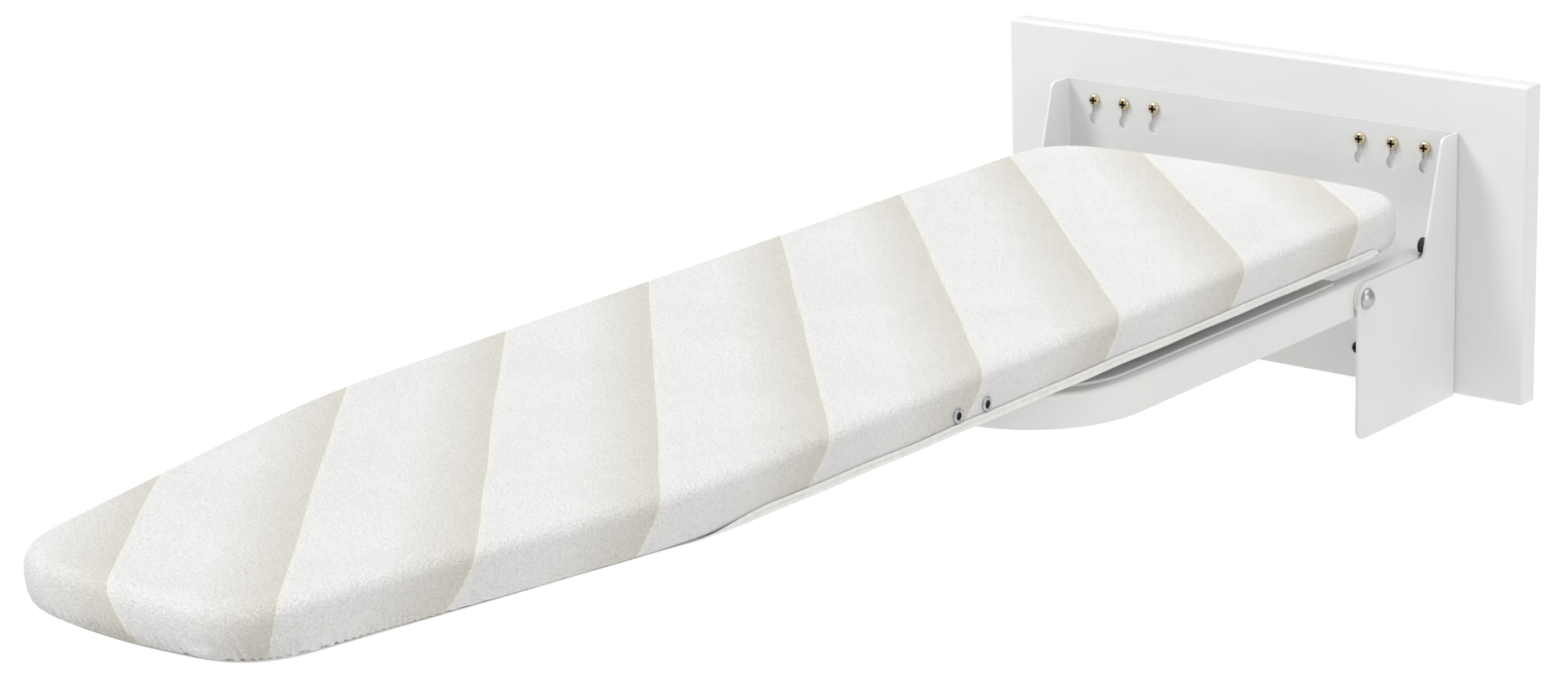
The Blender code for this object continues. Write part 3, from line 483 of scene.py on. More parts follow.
def keyhole_cutters(node):
    """What a keyhole takes out of the plate round one screw."""
    low, high = box(node)
    x, z = (low.x + high.x) / 2, (low.z + high.z) / 2
    back = highs("wall_bracket").y
    drop, slot, wide = 14.0 * MM, 2.8 * MM, 5.3 * MM
    near, far = back - 3 * SHEET, back + SHEET
    return [rod((x, near, z - drop), (x, far, z - drop), wide, 40),
            block((x - slot, near, z - drop), (x + slot, far, z)),
            rod((x, near, z), (x, far, z), slot, 24)]


def make_bracket(coat):
    """One sheet: a plate, two folds and two stepped cheeks, with keyholes."""
    low, high = box("wall_bracket")
    pivot = (box("pivot_bush_right")[0] + box("pivot_bush_right")[1]) / 2
    step_top = pivot.z + 11.5 * MM
    plate_front = high.y - SHEET
    step_front = plate_front - 43.0 * MM
    top_front = plate_front - 20.0 * MM
    side = high.x
    shape = bmesh.new()
    foot, crown = (side, high.y, low.z), (side, high.y, high.z)
    points = [(0, high.y, low.z), foot, crown, (0, high.y, high.z),
              (side, low.y, low.z), (side, low.y, step_top), (side, step_front, step_top),
              (side, top_front, high.z)]
    verts = [shape.verts.new(point) for point in points]
    shape.faces.new(verts[:4])
    shape.faces.new([verts[2], verts[1], *verts[4:]])
    bevel_corners(shape, [points[4]], 8.0 * MM, 8)
    bevel_corners(shape, [points[5]], 12.0 * MM, 12)
    bevel_corners(shape, [points[6], points[7]], 4.0 * MM, 6)
    fold = [e for e in shape.edges
            if all(abs(v.co.x - side) < 1e-6 and abs(v.co.y - high.y) < 1e-6 for v in e.verts)]
    bevel_edges(shape, fold, 3.0 * MM, 8)
    bmesh.ops.mirror(shape, geom=shape.verts[:] + shape.edges[:] + shape.faces[:],
                     matrix=Matrix.Identity(4), merge_dist=1e-5, axis="X")
    bmesh.ops.recalc_face_normals(shape, faces=shape.faces)
    bmesh.ops.solidify(shape, geom=shape.faces[:], thickness=SHEET)
    piece = add_object("bracket_sheet", to_mesh("bracket_sheet", shape))
    cutters = [c for node in screw_nodes("keyhole_screw") for c in keyhole_cutters(node)]
    for node in screw_nodes("lower_screw"):
        a, b = box(node)
        x, z = (a.x + b.x) / 2, (a.z + b.z) / 2
        cutters.append(rod((x, plate_front - SHEET, z), (x, high.y + SHEET, z), 2.5 * MM, 24))
    for x in (-side, side):
        cutters.append(rod((x - 2 * SHEET, pivot.y, pivot.z), (x + 2 * SHEET, pivot.y, pivot.z),
                           4.3 * MM))
    cut_away(piece, cutters)
    soften(piece)
    place_piece(piece, "bracket", coat, ["wall_bracket"])


def make_screw(node, plating):
    """A pan-head screw with a cross recess, smooth and with a rounded rim."""
    low, high = box(node)
    x, z = (low.x + high.x) / 2, (low.z + high.z) / 2
    radius = (high.x - low.x) / 2
    seat = highs("wall_bracket").y - SHEET - 0.3 * MM
    tall = seat - low.y
    shank, length = 2.2 * MM, high.y - seat
    profile = [(0, -length), (shank, -length + 2 * shank), (shank, 0), (radius - 0.3 * MM, 0)]
    profile += arc(radius - 0.3 * MM, 0.3 * MM, 0.3 * MM, -90, 10, 4)
    profile += [(radius * 0.93, tall * 0.55), (radius * 0.80, tall * 0.80),
                (radius * 0.58, tall * 0.95), (radius * 0.30, tall * 0.99), (0, tall)]
    screw = add_object(node + "_fine", to_mesh(node, spun(profile, (x, seat, z), (0, -1, 0)), 45))
    arm, bar, deep = radius * 0.62, radius * 0.19, tall * 0.75
    recess = [block((x - arm, low.y - MM, z - bar), (x + arm, low.y + deep, z + bar)),
              block((x - bar, low.y - MM, z - arm), (x + bar, low.y + deep, z + arm))]
    cut_away(screw, recess)
    place_piece(screw, "bracket", plating[0], [node])
    # The faces inside the cross recess take the third finish, black zinc: painted shade in the
    # recess of a yellow screw.
    inner = [f for f in screw.data.polygons
             if f.center.y < low.y + 1.05 * deep and near_cross(f, x, z, arm, bar)]
    paint_shade_on_faces(screw, inner, plating[2])


def near_cross(face, x, z, arm, bar):
    """True for a face that lines the cross recess of a screw at (x, z)."""
    out = Vector((face.center.x - x, 0, face.center.z - z))
    inside = max(abs(out.x), abs(out.z)) < arm + 1e-6 and min(abs(out.x), abs(out.z)) < bar + 1e-6
    wall = abs(face.normal.y) < 0.3
    floor = face.normal.y < -0.99 and inside
    return inside and (wall or floor)


def paint_shade_on_faces(piece, faces, finish):
    """Give some faces of a placed piece a second, dark finish: painted shade in recesses and holes.
    """
    piece.data.materials.append(finish)
    for face in faces:
        face.material_index = len(piece.data.materials) - 1


def make_pivot(word, side, plating):
    low, high = box("pivot_bolt_" + word)
    y, z = (low.y + high.y) / 2, (low.z + high.z) / 2
    radius = (high.z - low.z) / 2
    outer = high.x if side > 0 else -low.x
    inner = low.x if side > 0 else -high.x
    cheek = highs("wall_bracket").x
    seat, head = 0.3 * MM, outer - cheek
    shank = 4.0 * MM
    tip = inner - cheek
    chamfer = 0.6 * MM
    profile = [(0, tip), (shank - chamfer, tip), (shank, tip + chamfer), (shank, seat),
               (radius - 0.4 * MM, seat)]
    profile += arc(radius - 0.4 * MM, seat + 0.4 * MM, 0.4 * MM, -90, 0, 4)
    rise = head - seat - 0.9 * MM
    dome = (radius ** 2 + rise ** 2) / (2 * rise)
    half = math.asin(radius / dome)
    base = seat + 0.9 * MM
    profile += [(dome * math.sin(half * s), base + rise - dome * (1 - math.cos(half * s)))
                for s in (1, 0.85, 0.7, 0.55, 0.4, 0.25, 0.12)] + [(0, head)]
    shape = spun(profile, (side * cheek, y, z), (side, 0, 0), 48)
    piece = add_object(f"pivot_bolt_{word}_fine", to_mesh("pivot", shape, 45))
    place_piece(piece, "bracket", plating, ["pivot_bolt_" + word])


# ---------------------------------------------------------------- swing arm
def make_arm(coat):
    """The rim: a rounded front, side walls, a rounded bend and a narrow ledge."""
    low, high = box("arm_frame")
    side, rear, front = high.x, high.y, low.y
    ledge, corner, bend = 16.0 * MM, 80.0 * MM, 3.0 * MM
    shape = bmesh.new()
    top = face_of(shape, [(-side, rear, high.z), (-side, front, high.z),
                          (side, front, high.z), (side, rear, high.z)])
    bevel_corners(shape, [(-side, front, high.z), (side, front, high.z)], corner, 32)
    top = shape.faces[:][0]
    bmesh.ops.inset_region(shape, faces=[top], thickness=ledge, use_even_offset=True,
                           use_boundary=True)
    for vert in shape.verts:
        if abs(vert.co.y - (rear - ledge)) < 1e-5:
            vert.co.y = rear
    gone = [f for f in shape.faces if len(f.verts) > 4 or f.calc_area() < 1e-9]
    bmesh.ops.delete(shape, geom=gone, context="FACES")
    rim = [e for e in shape.edges if len(e.link_faces) == 1
           and on_rim(e, side, rear, front, corner)]
    pulled(shape, rim, (0, 0, low.z - high.z))
    brim = [e for e in shape.edges if len(e.link_faces) == 2 and e.calc_face_angle() > 1.2]
    bevel_edges(shape, brim, bend, 6)
    bmesh.ops.recalc_face_normals(shape, faces=shape.faces)
    piece = add_object("arm_rim", to_mesh("arm_rim", shape, 40))
    wall = piece.modifiers.new("sheet", "SOLIDIFY")
    wall.thickness = SHEET
    wall.offset = inward_offset(piece, side)
    wall.use_even_offset = True
    bake_modifiers(piece)
    pivot = (box("pivot_bush_right")[0] + box("pivot_bush_right")[1]) / 2
    bore = 4.3 * MM
    cut_away(piece, [rod((x - 3 * SHEET, pivot.y, pivot.z), (x + 3 * SHEET, pivot.y, pivot.z),
                         bore) for x in (-side, side)])
    soften(piece)
    place_piece(piece, "arm", coat, ["arm_frame"])


def on_rim(edge, side, rear, front, corner):
    """True for an edge of the arm's outer outline, from rear end to rear end."""
    middle = (edge.verts[0].co + edge.verts[1].co) / 2
    if abs(middle.y - rear) < 1e-5:
        return False
    if middle.y > front + corner:
        return abs(abs(middle.x) - side) < 1e-5
    centre_x = max(abs(middle.x) - (side - corner), 0)
    return math.hypot(centre_x, front + corner - middle.y) > corner - 2 * MM


def inward_offset(piece, side):
    """Solidify's offset that puts the wall inside the outer skin."""
    for face in piece.data.polygons:
        if abs(face.center.x - side) < 1e-5:
            return -1.0 if face.normal.x > 0 else 1.0
    return -1.0


def make_deck(coat):
    """The arm's plate, with round corners and a lip turned down along its rear."""
    low, high = box("arm_deck")
    side, rear, front = high.x, high.y, low.y
    shape = bmesh.new()
    corners = [(-side, rear, high.z), (-side, front, high.z), (side, front, high.z),
               (side, rear, high.z)]
    face_of(shape, corners)
    bevel_corners(shape, corners[1:3], 71.5 * MM, 32)
    bevel_corners(shape, [corners[0], corners[3]], 6.0 * MM, 8)
    edge = [e for e in shape.edges if all(abs(v.co.y - rear) < 1e-6 for v in e.verts)]
    pulled(shape, edge, (0, 0, low.z - high.z))
    fold = [e for e in shape.edges if len(e.link_faces) == 2]
    bevel_edges(shape, fold, 2.5 * MM, 5)
    bmesh.ops.recalc_face_normals(shape, faces=shape.faces)
    piece = add_object("arm_deck_plate", to_mesh("arm_deck_plate", shape, 40))
    wall = piece.modifiers.new("sheet", "SOLIDIFY")
    wall.thickness = SHEET
    up = max(piece.data.polygons, key=lambda f: f.area).normal.z > 0
    wall.offset = -1.0 if up else 1.0
    bake_modifiers(piece)
    bolt = (box("swivel_bolt")[0] + box("swivel_bolt")[1]) / 2
    cutters = [rod((bolt.x, bolt.y, low.z), (bolt.x, bolt.y, high.z + MM), 5.3 * MM)]
    for node in screw_nodes("base_rivet"):
        a, b = box(node)
        x, y = (a.x + b.x) / 2, (a.y + b.y) / 2
        cutters.append(rod((x, y, low.z), (x, y, high.z + MM), 2.3 * MM))
    cut_away(piece, cutters)
    soften(piece)
    place_piece(piece, "arm", coat, ["arm_deck"])


# ---------------------------------------------------------------- the board's outline
class Outline:
    """A closed line round a node from above: even points, their normals and lengths."""

    def __init__(self, node, step=LINE_STEP, inset=0.0):
        flat = [v.co.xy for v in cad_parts[node].data.vertices]
        ring = np.array([flat[i] for i in geometry.convex_hull_2d(flat)])
        ring = np.concatenate([ring, ring[:1]])
        far = np.concatenate(([0], np.cumsum(np.hypot(*np.diff(ring, axis=0).T))))
        at = np.linspace(0, far[-1], int(far[-1] / step), endpoint=False)
        line = np.stack([np.interp(at, far, ring[:, i]) for i in (0, 1)], 1)
        for _ in range(6):
            line = (np.roll(line, 1, 0) + 2 * line + np.roll(line, -1, 0)) / 4
        area = (line[:, 0] * np.roll(line[:, 1], -1) - line[:, 1] * np.roll(line[:, 0], -1)).sum()
        if area < 0:
            line = line[::-1]
        line = np.roll(line, -np.argmax(line[:, 1] - abs(line[:, 0])), 0)
        self.points = line - self.turned(line) * inset
        self.normals = self.turned(self.points)
        self.steps = np.hypot(*(np.roll(self.points, -1, 0) - self.points).T)
        self.far = np.concatenate(([0], np.cumsum(self.steps)))
        self.length = self.far[-1]

    @staticmethod
    def turned(line):
        """Outward normals of a line that runs counter-clockwise."""
        along = np.roll(line, -1, 0) - np.roll(line, 1, 0)
        along /= np.hypot(*along.T)[:, None]
        return np.stack([along[:, 1], -along[:, 0]], 1)

    def at(self, far):
        """Points and normals at lengths along the line."""
        far = np.mod(far, self.length)
        found = []
        for values in (self.points, self.normals):
            ring = np.concatenate([values, values[:1]])
            found.append(np.stack([np.interp(far, self.far, ring[:, i]) for i in (0, 1)], 1))
        return found

    def nearest(self, points):
        """How far outside the line points lie, their feet on it, normals and lengths."""
        parts = [self.nearest_few(part) for part in np.array_split(points, len(points) // 4000 + 1)]
        return [np.concatenate(values) for values in zip(*parts)]

    def nearest_few(self, points):
        step = np.roll(self.points, -1, 0) - self.points
        offset = points[:, None, :] - self.points[None]
        share = np.clip((offset * step[None]).sum(2) / self.steps ** 2, 0, 1)
        gap = np.hypot(*np.moveaxis(offset - share[..., None] * step[None], 2, 0))
        best = gap.argmin(1)
        rows = np.arange(len(points))
        share, gap = share[rows, best], gap[rows, best]
        foot = self.points[best] + share[:, None] * step[best]
        out = np.stack([step[best, 1], -step[best, 0]], 1) / self.steps[best][:, None]
        side = np.where(((points - foot) * out).sum(1) < 0, -1.0, 1.0)
        normal = np.where((gap > 1e-6)[:, None],
                          (points - foot) * (side / np.maximum(gap, 1e-9))[:, None], out)
        return side * gap, foot, normal, self.far[best] + share * self.steps[best]


def eased(value):
    value = np.clip(value, 0, 1)
    return value * value * (3 - 2 * value)


class Wrap:
    """How cloth runs over the board's edge: along it, from the top to under the board."""

    def __init__(self, top, foot):
        self.top = top
        self.roll = EDGE_ROUND * math.pi / 2
        self.wall = top - EDGE_ROUND - foot - HEM_ROUND
        self.turn = HEM_ROUND * math.pi / 2
        self.length = self.roll + self.wall + self.turn + HEM_RETURN - HEM_ROUND

    def at(self, u, lift=0.0):
        """Inset from the outline and height, for lengths u past the start of the roll."""
        a = np.clip(u / EDGE_ROUND, 0, math.pi / 2)
        b = np.clip((u - self.roll - self.wall) / HEM_ROUND, 0, math.pi / 2)
        drop = np.clip(u - self.roll, 0, self.wall)
        under = np.maximum(u - self.roll - self.wall - self.turn, 0)
        inset = EDGE_ROUND * (1 - np.sin(a)) + HEM_ROUND * (1 - np.cos(b)) + under
        height = self.top - EDGE_ROUND * (1 - np.cos(a)) - drop - HEM_ROUND * np.sin(b)
        return (inset - np.minimum(u, 0) - lift * np.sin(a + b),
                height + lift * np.cos(a + b))


def tucked(y):
    """How far the hem's tape lies under the board, 0 along the sides to 1 at the ends."""
    low, high = box("cotton_cover")
    return np.maximum(eased((low.y + 0.36 - y) / 0.10), eased((y - high.y + 0.075) / 0.02))


# ---------------------------------------------------------------- padded cover
def cut_cloth(outline, reach):
    """The cover laid flat: a woven grid trimmed to an outline wider than the board's."""
    low, high = outline.points.min(0) - reach, outline.points.max(0) + reach
    count = np.ceil((high - low) / CLOTH_CELL).astype(int)
    middle = (low + high) / 2
    shape = bmesh.new()
    bmesh.ops.create_grid(shape, x_segments=int(count[0]), y_segments=int(count[1]), size=0.5)
    size = count * CLOTH_CELL
    matrix = Matrix.Translation((*middle, 0)) @ Matrix.Diagonal((*size, 1, 1))
    bmesh.ops.transform(shape, matrix=matrix, verts=shape.verts)
    flat = np.array([v.co.xy for v in shape.verts])
    outside = outline.nearest(flat)[0] - reach
    verts = list(shape.verts)
    spare = [verts[i] for i in np.flatnonzero(outside > 0.3 * CLOTH_CELL)]
    bmesh.ops.delete(shape, geom=spare, context="VERTS")
    rim = [v for v in shape.verts if v.is_boundary]
    _, foot, normal, _ = outline.nearest(np.array([v.co.xy for v in rim]))
    for vert, place in zip(rim, foot + normal * reach):
        vert.co.xy = place
    return shape


def fold_cloth(flat, outline, wrap):
    """Where each point of the flat cloth comes to lie round the board."""
    outside, foot, normal, _ = outline.nearest(flat)
    u = outside + EDGE_ROUND
    inset, height = wrap.at(u)
    height = height + 1.2 * MM * np.clip(-outside / 0.07, 0, 1) ** 0.8
    place = np.where((u > 0)[:, None], foot - normal * inset[:, None], flat)
    return np.concatenate([place, height[:, None]], 1)


def make_cloth_mesh(outline, wrap):
    shape = cut_cloth(outline, wrap.length - EDGE_ROUND)
    flat = np.array([v.co.xy for v in shape.verts])
    layer = shape.loops.layers.uv.new("cloth")
    shape.verts.index_update()
    for face in shape.faces:
        for loop in face.loops:
            loop[layer].uv = flat[loop.vert.index]
    mesh = bpy.data.meshes.new("cover_cloth")
    shape.to_mesh(mesh)
    shape.free()
    return mesh, flat


def wander(values, scale, seed):
    """Slow random change along a length, from about -1 to 1."""
    return np.array([noise.noise(Vector((value * scale, seed, 0.5))) for value in values]) * 2


def points_of(mesh):
    found = np.zeros(len(mesh.vertices) * 3, np.float32)
    mesh.vertices.foreach_get("co", found)
    return found.reshape(-1, 3).astype(float)


def at_the_ends(y):
    """How strongly the cover is drawn up at a place along the board: 1 at the nose."""
    low, high = box("cotton_cover")
    return np.maximum(eased((low.y + 0.19 - y) / 0.11), 0.75 * eased((y - high.y + 0.06) / 0.03))


def gather(mesh, outline):
    """Ruching where the drawn-up hem turns round the ends: pleats and a tuck inwards."""
    low = lows("cotton_cover")
    places = points_of(mesh)
    chosen = np.flatnonzero((places[:, 2] < low.z + GATHER_RISE)
                            & (at_the_ends(places[:, 1]) > 0.001))
    some = places[chosen]
    gap, foot, normal, far = outline.nearest(some[:, :2])
    rise = some[:, 2] - low.z
    share = at_the_ends(foot[:, 1]) * eased((GATHER_RISE - rise) / GATHER_RISE)
    under = eased((-gap - 3 * MM) / (4 * MM))
    lean = far + 0.35 * rise + 0.012 * wander(far, 22.0, 3.0)
    pleat = np.sin(2 * math.pi * lean / PLEAT_PITCH) * (0.75 + 0.35 * wander(far, 60.0, 9.0))
    pleat = np.sign(pleat) * np.abs(pleat) ** 0.8 * PLEAT_DEPTH * share
    out = (pleat - UNDERCUT * share) * (1 - under)
    some[:, :2] += normal * out[:, None]
    some[:, 2] -= 0.5 * pleat * under
    places[chosen] = some
    mesh.vertices.foreach_set("co", places.astype(np.float32).ravel())


def crease(mesh):
    """Press a few long, low folds into the top."""
    places = points_of(mesh)
    top = highs("cotton_cover").z - 3 * MM
    upper = np.flatnonzero(places[:, 2] > top)
    flat = places[upper, :2]
    for start, end, height in CREASES:
        start, along = np.array(start), np.subtract(end, start)
        share = np.clip((flat - start) @ along / (along @ along), 0, 1)
        gap = np.hypot(*(flat - start - share[:, None] * along).T)
        bow = 4 * share * (1 - share)
        places[upper, 2] += height * bow * (np.exp(-(gap / (3.2 * MM)) ** 2)
                                            - 0.5 * np.exp(-(gap / (8 * MM)) ** 2))
    mesh.vertices.foreach_set("co", places.astype(np.float32).ravel())


def refine_ends(mesh):
    """Split the faces that are about to be gathered."""
    low = lows("cotton_cover")
    shape = bmesh.new()
    shape.from_mesh(mesh)
    edges = {edge for face in shape.faces
             if face.calc_center_median().z < low.z + GATHER_RISE
             and at_the_ends(face.calc_center_median().y) > 0.1 for edge in face.edges}
    bmesh.ops.subdivide_edges(shape, edges=list(edges), cuts=1, use_grid_fill=True)
    shape.to_mesh(mesh)
    shape.free()


def make_cover(outline, wrap, cotton):
    """The cover: cut flat, folded round the board, subdivided, gathered, thickened."""
    mesh, flat = make_cloth_mesh(outline, wrap)
    folded = fold_cloth(flat, outline, wrap)
    mesh.vertices.foreach_set("co", folded.astype(np.float32).ravel())
    piece = add_object("cover_cloth", mesh)
    finer = piece.modifiers.new("finer", "SUBSURF")
    finer.levels = finer.render_levels = 1
    bake_modifiers(piece)
    refine_ends(piece.data)
    gather(piece.data, outline)
    crease(piece.data)
    wall = piece.modifiers.new("cloth_wall", "SOLIDIFY")
    wall.thickness = CLOTH
    wall.offset = -1
    bake_modifiers(piece)
    piece.data.shade_smooth()
    place_piece(piece, "board", cotton, ["cotton_cover"])


def make_pad(outline):
    """The felt pad under the cover: a soft-edged slab with a skirt down the rim."""
    low, high = box("felt_pad")
    shape = bmesh.new()
    inset = 1.8 * MM
    ring = outline.points - outline.normals * inset
    top = high.z - 1.0 * MM
    face_of(shape, [(x, y, top) for x, y in ring])
    pulled(shape, shape.edges[:], (0, 0, low.z - top))
    brim = [e for e in shape.edges if len(e.link_faces) == 2 and e.calc_face_angle() > 1.2]
    bevel_edges(shape, brim, EDGE_ROUND - inset, 6)
    bmesh.ops.recalc_face_normals(shape, faces=shape.faces)
    bmesh.ops.triangulate(shape, faces=[f for f in shape.faces if len(f.verts) > 4])
    return add_object("felt_underlay", to_mesh("felt_underlay", shape, 60))


def finish_pad(piece, felt):
    """Trim the pad's skirt above the gathers and give it its thickness."""
    shape = bmesh.new()
    shape.from_mesh(piece.data)
    trim = lows("cotton_cover").z + GATHER_RISE - 3 * MM
    bmesh.ops.bisect_plane(shape, geom=shape.verts[:] + shape.edges[:] + shape.faces[:],
                           plane_co=(0, 0, trim), plane_no=(0, 0, 1), clear_inner=True)
    shape.to_mesh(piece.data)
    shape.free()
    wall = piece.modifiers.new("felt_wall", "SOLIDIFY")
    wall.thickness = 2.0 * MM
    wall.offset = -1
    bake_modifiers(piece)
    place_piece(piece, "board", felt, ["felt_pad"])


# ---------------------------------------------------------------- hem
def band(name, outline, rows, width, surface):
    """A closed band round the board; surface(far, share) gives the points of a grid."""
    count = int(outline.length / LINE_STEP)
    shape = bmesh.new()
    bmesh.ops.create_grid(shape, x_segments=count, y_segments=rows, size=0.5)
    layer = shape.loops.layers.uv.new("band")
    for face in shape.faces:
        for loop in face.loops:
            spot = loop.vert.co
            loop[layer].uv = ((spot.x + 0.5) * outline.length, (spot.y + 0.5) * width)
    grid = np.array([v.co.xy for v in shape.verts]) + 0.5
    for vert, place in zip(shape.verts, surface(grid[:, 0] * outline.length, grid[:, 1])):
        vert.co = place
    bmesh.ops.remove_doubles(shape, verts=shape.verts, dist=1e-5)
    bmesh.ops.recalc_face_normals(shape, faces=shape.faces)
    return add_object(name, to_mesh(name, shape, 180))


def on_hem(outline, wrap, far, across, lift):
    """Points on the hem: across is from the tape's upper edge, lift is off the cloth."""
    foot, normal = outline.at(far)
    tuck = tucked(foot[:, 1])
    u = wrap.roll + wrap.wall - 3.4 * MM + CASING_TUCK * tuck + across
    inset, height = wrap.at(u, lift)
    ends = at_the_ends(foot[:, 1])
    inset = inset + UNDERCUT * ends * (1 - eased((inset - 3 * MM) / (4 * MM)))
    return np.concatenate([foot - normal * inset[:, None], height[:, None]], 1)


def make_casing(outline, wrap, tape):
    """The folded tape that carries the elastic, a little proud of the cloth."""
    def surface(far, share):
        roll = 0.55 * MM * np.exp(-((share - 0.10) / 0.10) ** 2)
        groove = 0.45 * MM * np.exp(-((share - 0.30) / 0.05) ** 2)
        belly = 0.5 * MM * np.sin(math.pi * share) ** 0.7
        pucker = 0.16 * MM * np.sin(2 * math.pi * far / STITCH_PITCH) * (share > 0.2)
        sway = 0.5 * MM * wander(far, 14.0, 5.0)
        lift = 0.45 * MM + roll + belly - groove + pucker
        return on_hem(outline, wrap, far, share * CASING_WIDTH + sway, lift)

    piece = band("hem_casing", outline, 20, CASING_WIDTH, surface)
    wall = piece.modifiers.new("tape", "SOLIDIFY")
    wall.thickness = 0.5 * MM
    wall.offset = -1
    bake_modifiers(piece)
    place_piece(piece, "board", tape)


def make_stitches(outline, wrap, thread):
    """The row of stitches that holds the tape."""
    count = int(outline.length / STITCH_PITCH)
    far = np.linspace(0, outline.length, count, endpoint=False)
    sway = 0.5 * MM * wander(far, 14.0, 5.0)
    spots = on_hem(outline, wrap, far, 0.30 * CASING_WIDTH + sway, 0.75 * MM)
    shape = bmesh.new()
    for spot, after in zip(spots, np.roll(spots, -1, 0)):
        turn = Vector((0, 0, 1)).rotation_difference(Vector(after - spot)).to_matrix().to_4x4()
        matrix = Matrix.Translation(spot) @ turn @ Matrix.Diagonal((1, 1, 4.2, 1))
        bmesh.ops.create_icosphere(shape, subdivisions=1, radius=0.32 * MM, matrix=matrix)
    piece = add_object("hem_stitches", to_mesh("hem_stitches", shape, 180))
    place_piece(piece, "board", thread)


def make_elastic(braid):
    """The drawn-up cord inside the hem's edge."""
    low, high = box("hem_elastic")
    radius = (high.z - low.z) / 2
    middle = (high.z + low.z) / 2
    outline = Outline("hem_elastic", inset=radius)

    def surface(far, share):
        foot, normal = outline.at(far)
        angle = 2 * math.pi * share
        out = radius * np.cos(angle)
        height = middle + radius * np.sin(angle)
        return np.concatenate([foot + normal * out[:, None], height[:, None]], 1)

    piece = band("hem_elastic_braid", outline, 12, 2 * math.pi * radius, surface)
    place_piece(piece, "board", braid, ["hem_elastic"])


def make_eyelet(node, plating, dark):
    """A rolled brass-type eyelet: a proud rim and a barrel, its inside painted dark as shade in the
    hole.
    """
    low, high = box(node)
    place = (low.x, (low.y + high.y) / 2, (low.z + high.z) / 2)
    radius = (high.z - low.z) / 2
    hole, tall = radius * 0.52, high.x - low.x
    mid, half = (radius + hole) / 2, (radius - hole) / 2
    profile = [(0, 0.15 * tall), (hole, 0.15 * tall)]
    profile += [(mid - half * math.cos(a), 0.35 * tall + (0.65 * tall) * math.sin(a))
                for a in np.linspace(0, math.pi, 9)]
    profile += [(radius, 0), (0, 0)]
    piece = add_object(node + "_fine", to_mesh(node, spun(profile, place, (1, 0, 0), 36), 40))
    place_piece(piece, "board", plating, [node])
    # The faces inside the barrel take the dark finish: painted shade in the hole, not the eyelet's
    # own metal.
    middle = Vector(place)
    inner = [f for f in piece.data.polygons
             if (f.center - middle).yz.length < hole * 1.02 and f.center.x > low.x + 0.1 * tall]
    paint_shade_on_faces(piece, inner, dark)


# ---------------------------------------------------------------- studio
def make_camera():
    data = bpy.data.cameras.new("camera")
    data.lens = 95.8
    data.sensor_width = 36.0
    data.clip_start, data.clip_end = 0.05, 60.0
    camera = bpy.data.objects.new("camera", data)
    bpy.context.collection.objects.link(camera)
    heading, tilt, roll = math.radians(39.277), math.radians(16.265), math.radians(1.715)
    turn = Euler((math.pi / 2 - tilt, 0, heading)).to_matrix()
    camera.matrix_world = (Matrix.Translation((1.5769, -2.4891, 0.7618))
                           @ (turn @ Matrix.Rotation(-roll, 3, "Z")).to_4x4())
    bpy.context.scene.camera = camera


def add_light(name, place, colour, power, softness):
    """A broad, even light from the direction of a place; softness is its angle."""
    data = bpy.data.lights.new(name, "SUN")
    data.color = colour
    data.energy = power
    data.angle = math.radians(softness)
    light = bpy.data.objects.new(name, data)
    light.location = place
    light.rotation_euler = (-Vector(place)).to_track_quat("-Z", "Y").to_euler()
    bpy.context.collection.objects.link(light)


def make_studio():
    scene = bpy.context.scene
    scene.view_settings.view_transform = "Standard"
    world = bpy.data.worlds.new("studio")
    scene.world = world
    world.use_nodes = True
    sky = world.node_tree.nodes["Background"]
    sky.inputs["Color"].default_value = (1.0, 0.955, 0.90, 1.0)
    sky.inputs["Strength"].default_value = 0.42
    add_light("key_light", (-0.75, -0.62, 1.15), (0.965, 0.985, 1.0), 2.1, 20)
    add_light("top_light", (0.3, 0.2, 1.6), (0.97, 0.985, 1.0), 1.1, 50)
    add_light("right_fill", (1.0, -0.45, 0.40), (0.97, 0.985, 1.0), 0.75, 40)

    shape = bmesh.new()
    bmesh.ops.create_grid(shape, x_segments=1, y_segments=1, size=12.0)
    bmesh.ops.translate(shape, verts=shape.verts, vec=(0, 0, -0.85))
    mesh = bpy.data.meshes.new("studio_floor")
    shape.to_mesh(mesh)
    shape.free()
    floor = add_object("studio_floor", mesh)
    floor.data.materials.append(floor_paint())


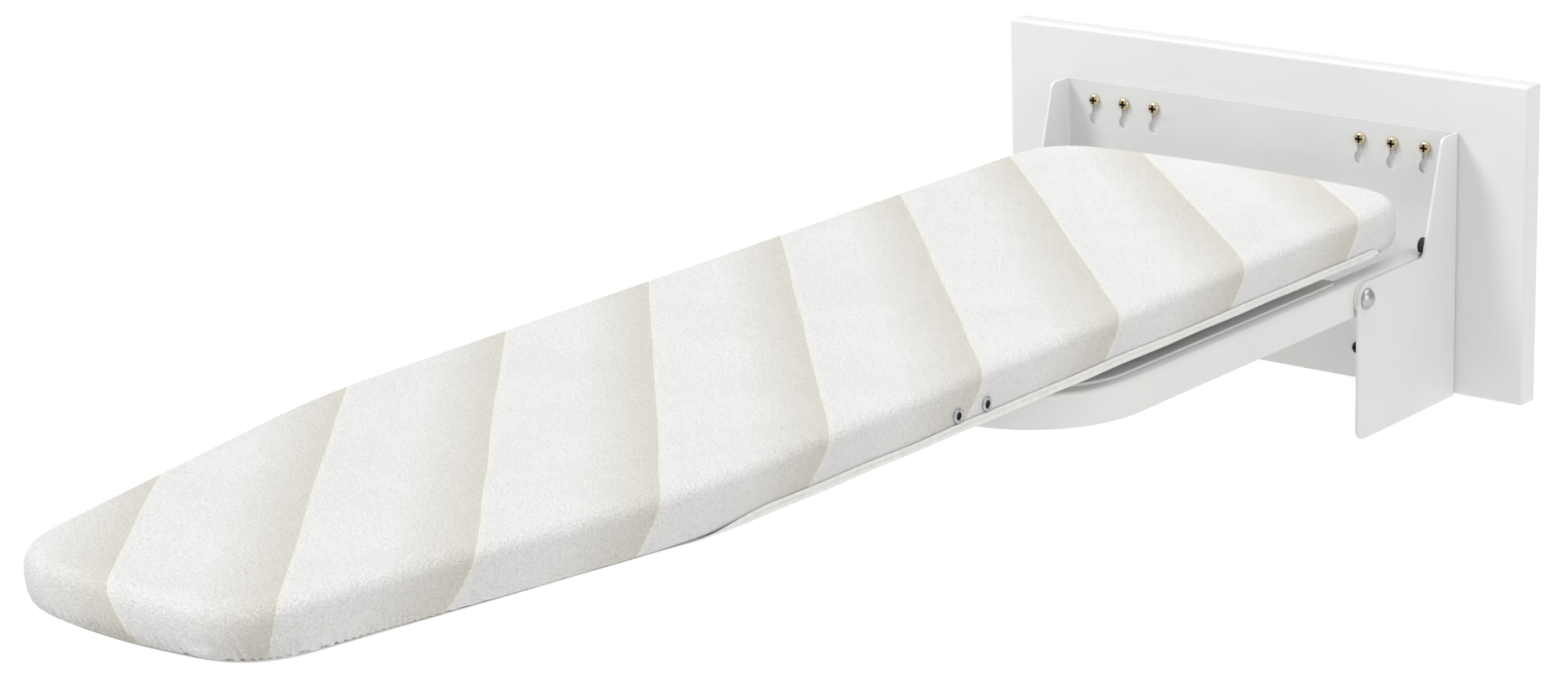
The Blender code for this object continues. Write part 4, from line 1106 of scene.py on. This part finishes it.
# ---------------------------------------------------------------- all together
def main():
    make_camera()
    make_studio()
    coat = powder_coat("white_powder_coat_fine", (0.745, 0.755, 0.75), (0.72, 0.73, 0.73))
    inside = powder_coat("pan_powder_coat", (0.72, 0.725, 0.73), (0.69, 0.695, 0.70), 700.0)
    lacquer = lacquered_board()
    yellow = plated("yellow_passivated_zinc", (0.78, 0.62, 0.34), (0.66, 0.56, 0.42), 0.30)
    black = plated("black_zinc_fine", (0.06, 0.06, 0.065), (0.03, 0.03, 0.03), 0.40)
    bright = plated("bright_zinc_fine", (0.60, 0.61, 0.63), (0.52, 0.54, 0.57), 0.30)
    nylon = moulded("nylon_fine", (0.86, 0.85, 0.80), (0.80, 0.79, 0.74), 0.45, 1500.0)
    rubber = moulded("rubber_fine", (0.045, 0.045, 0.045), (0.03, 0.03, 0.03), 0.75, 2000.0)
    felt = needle_felt()
    cotton = striped_cotton()

    tape = hem_tape()
    # the second colour is painted shade for the hollows between the braid's strands
    braid = braided("elastic_braid", (0.80, 0.80, 0.78), (0.42, 0.42, 0.42), 1.6 * MM)

    finishes = {"panel_paint": lacquer, "white_powder_coat": inside, "yellow_zinc": yellow,
                "black_zinc": black, "bright_zinc": bright, "nylon": nylon, "rubber": rubber,
                "felt": felt, "cotton": cotton, "elastic": braid}
    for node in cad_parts.values():
        for number, material in enumerate(node.data.materials):
            node.data.materials[number] = finishes[material.name.split(".")[0]]

    make_panel(lacquer)
    make_bracket(coat)
    for node in screw_nodes("keyhole_screw"):
        # black here is painted shade in the cross recess of the yellow screws
        make_screw(node, (yellow, "yellow_zinc", black))
    for node in screw_nodes("lower_screw"):
        make_screw(node, (black, "black_zinc", black))
    make_pivot("left", -1, bright)
    make_pivot("right", 1, bright)
    make_arm(coat)
    make_deck(coat)

    outline = Outline("cotton_cover")
    wrap = Wrap(highs("cotton_cover").z, lows("cotton_cover").z)
    pad = make_pad(outline)
    make_cover(outline, wrap, cotton)
    finish_pad(pad, felt)
    make_casing(outline, wrap, tape)
    make_stitches(outline, wrap, tape)
    make_elastic(braid)
    for node in screw_nodes("cover_eyelet"):
        # black here is painted shade inside the eyelet's hole
        make_eyelet(node, bright, black)


main()
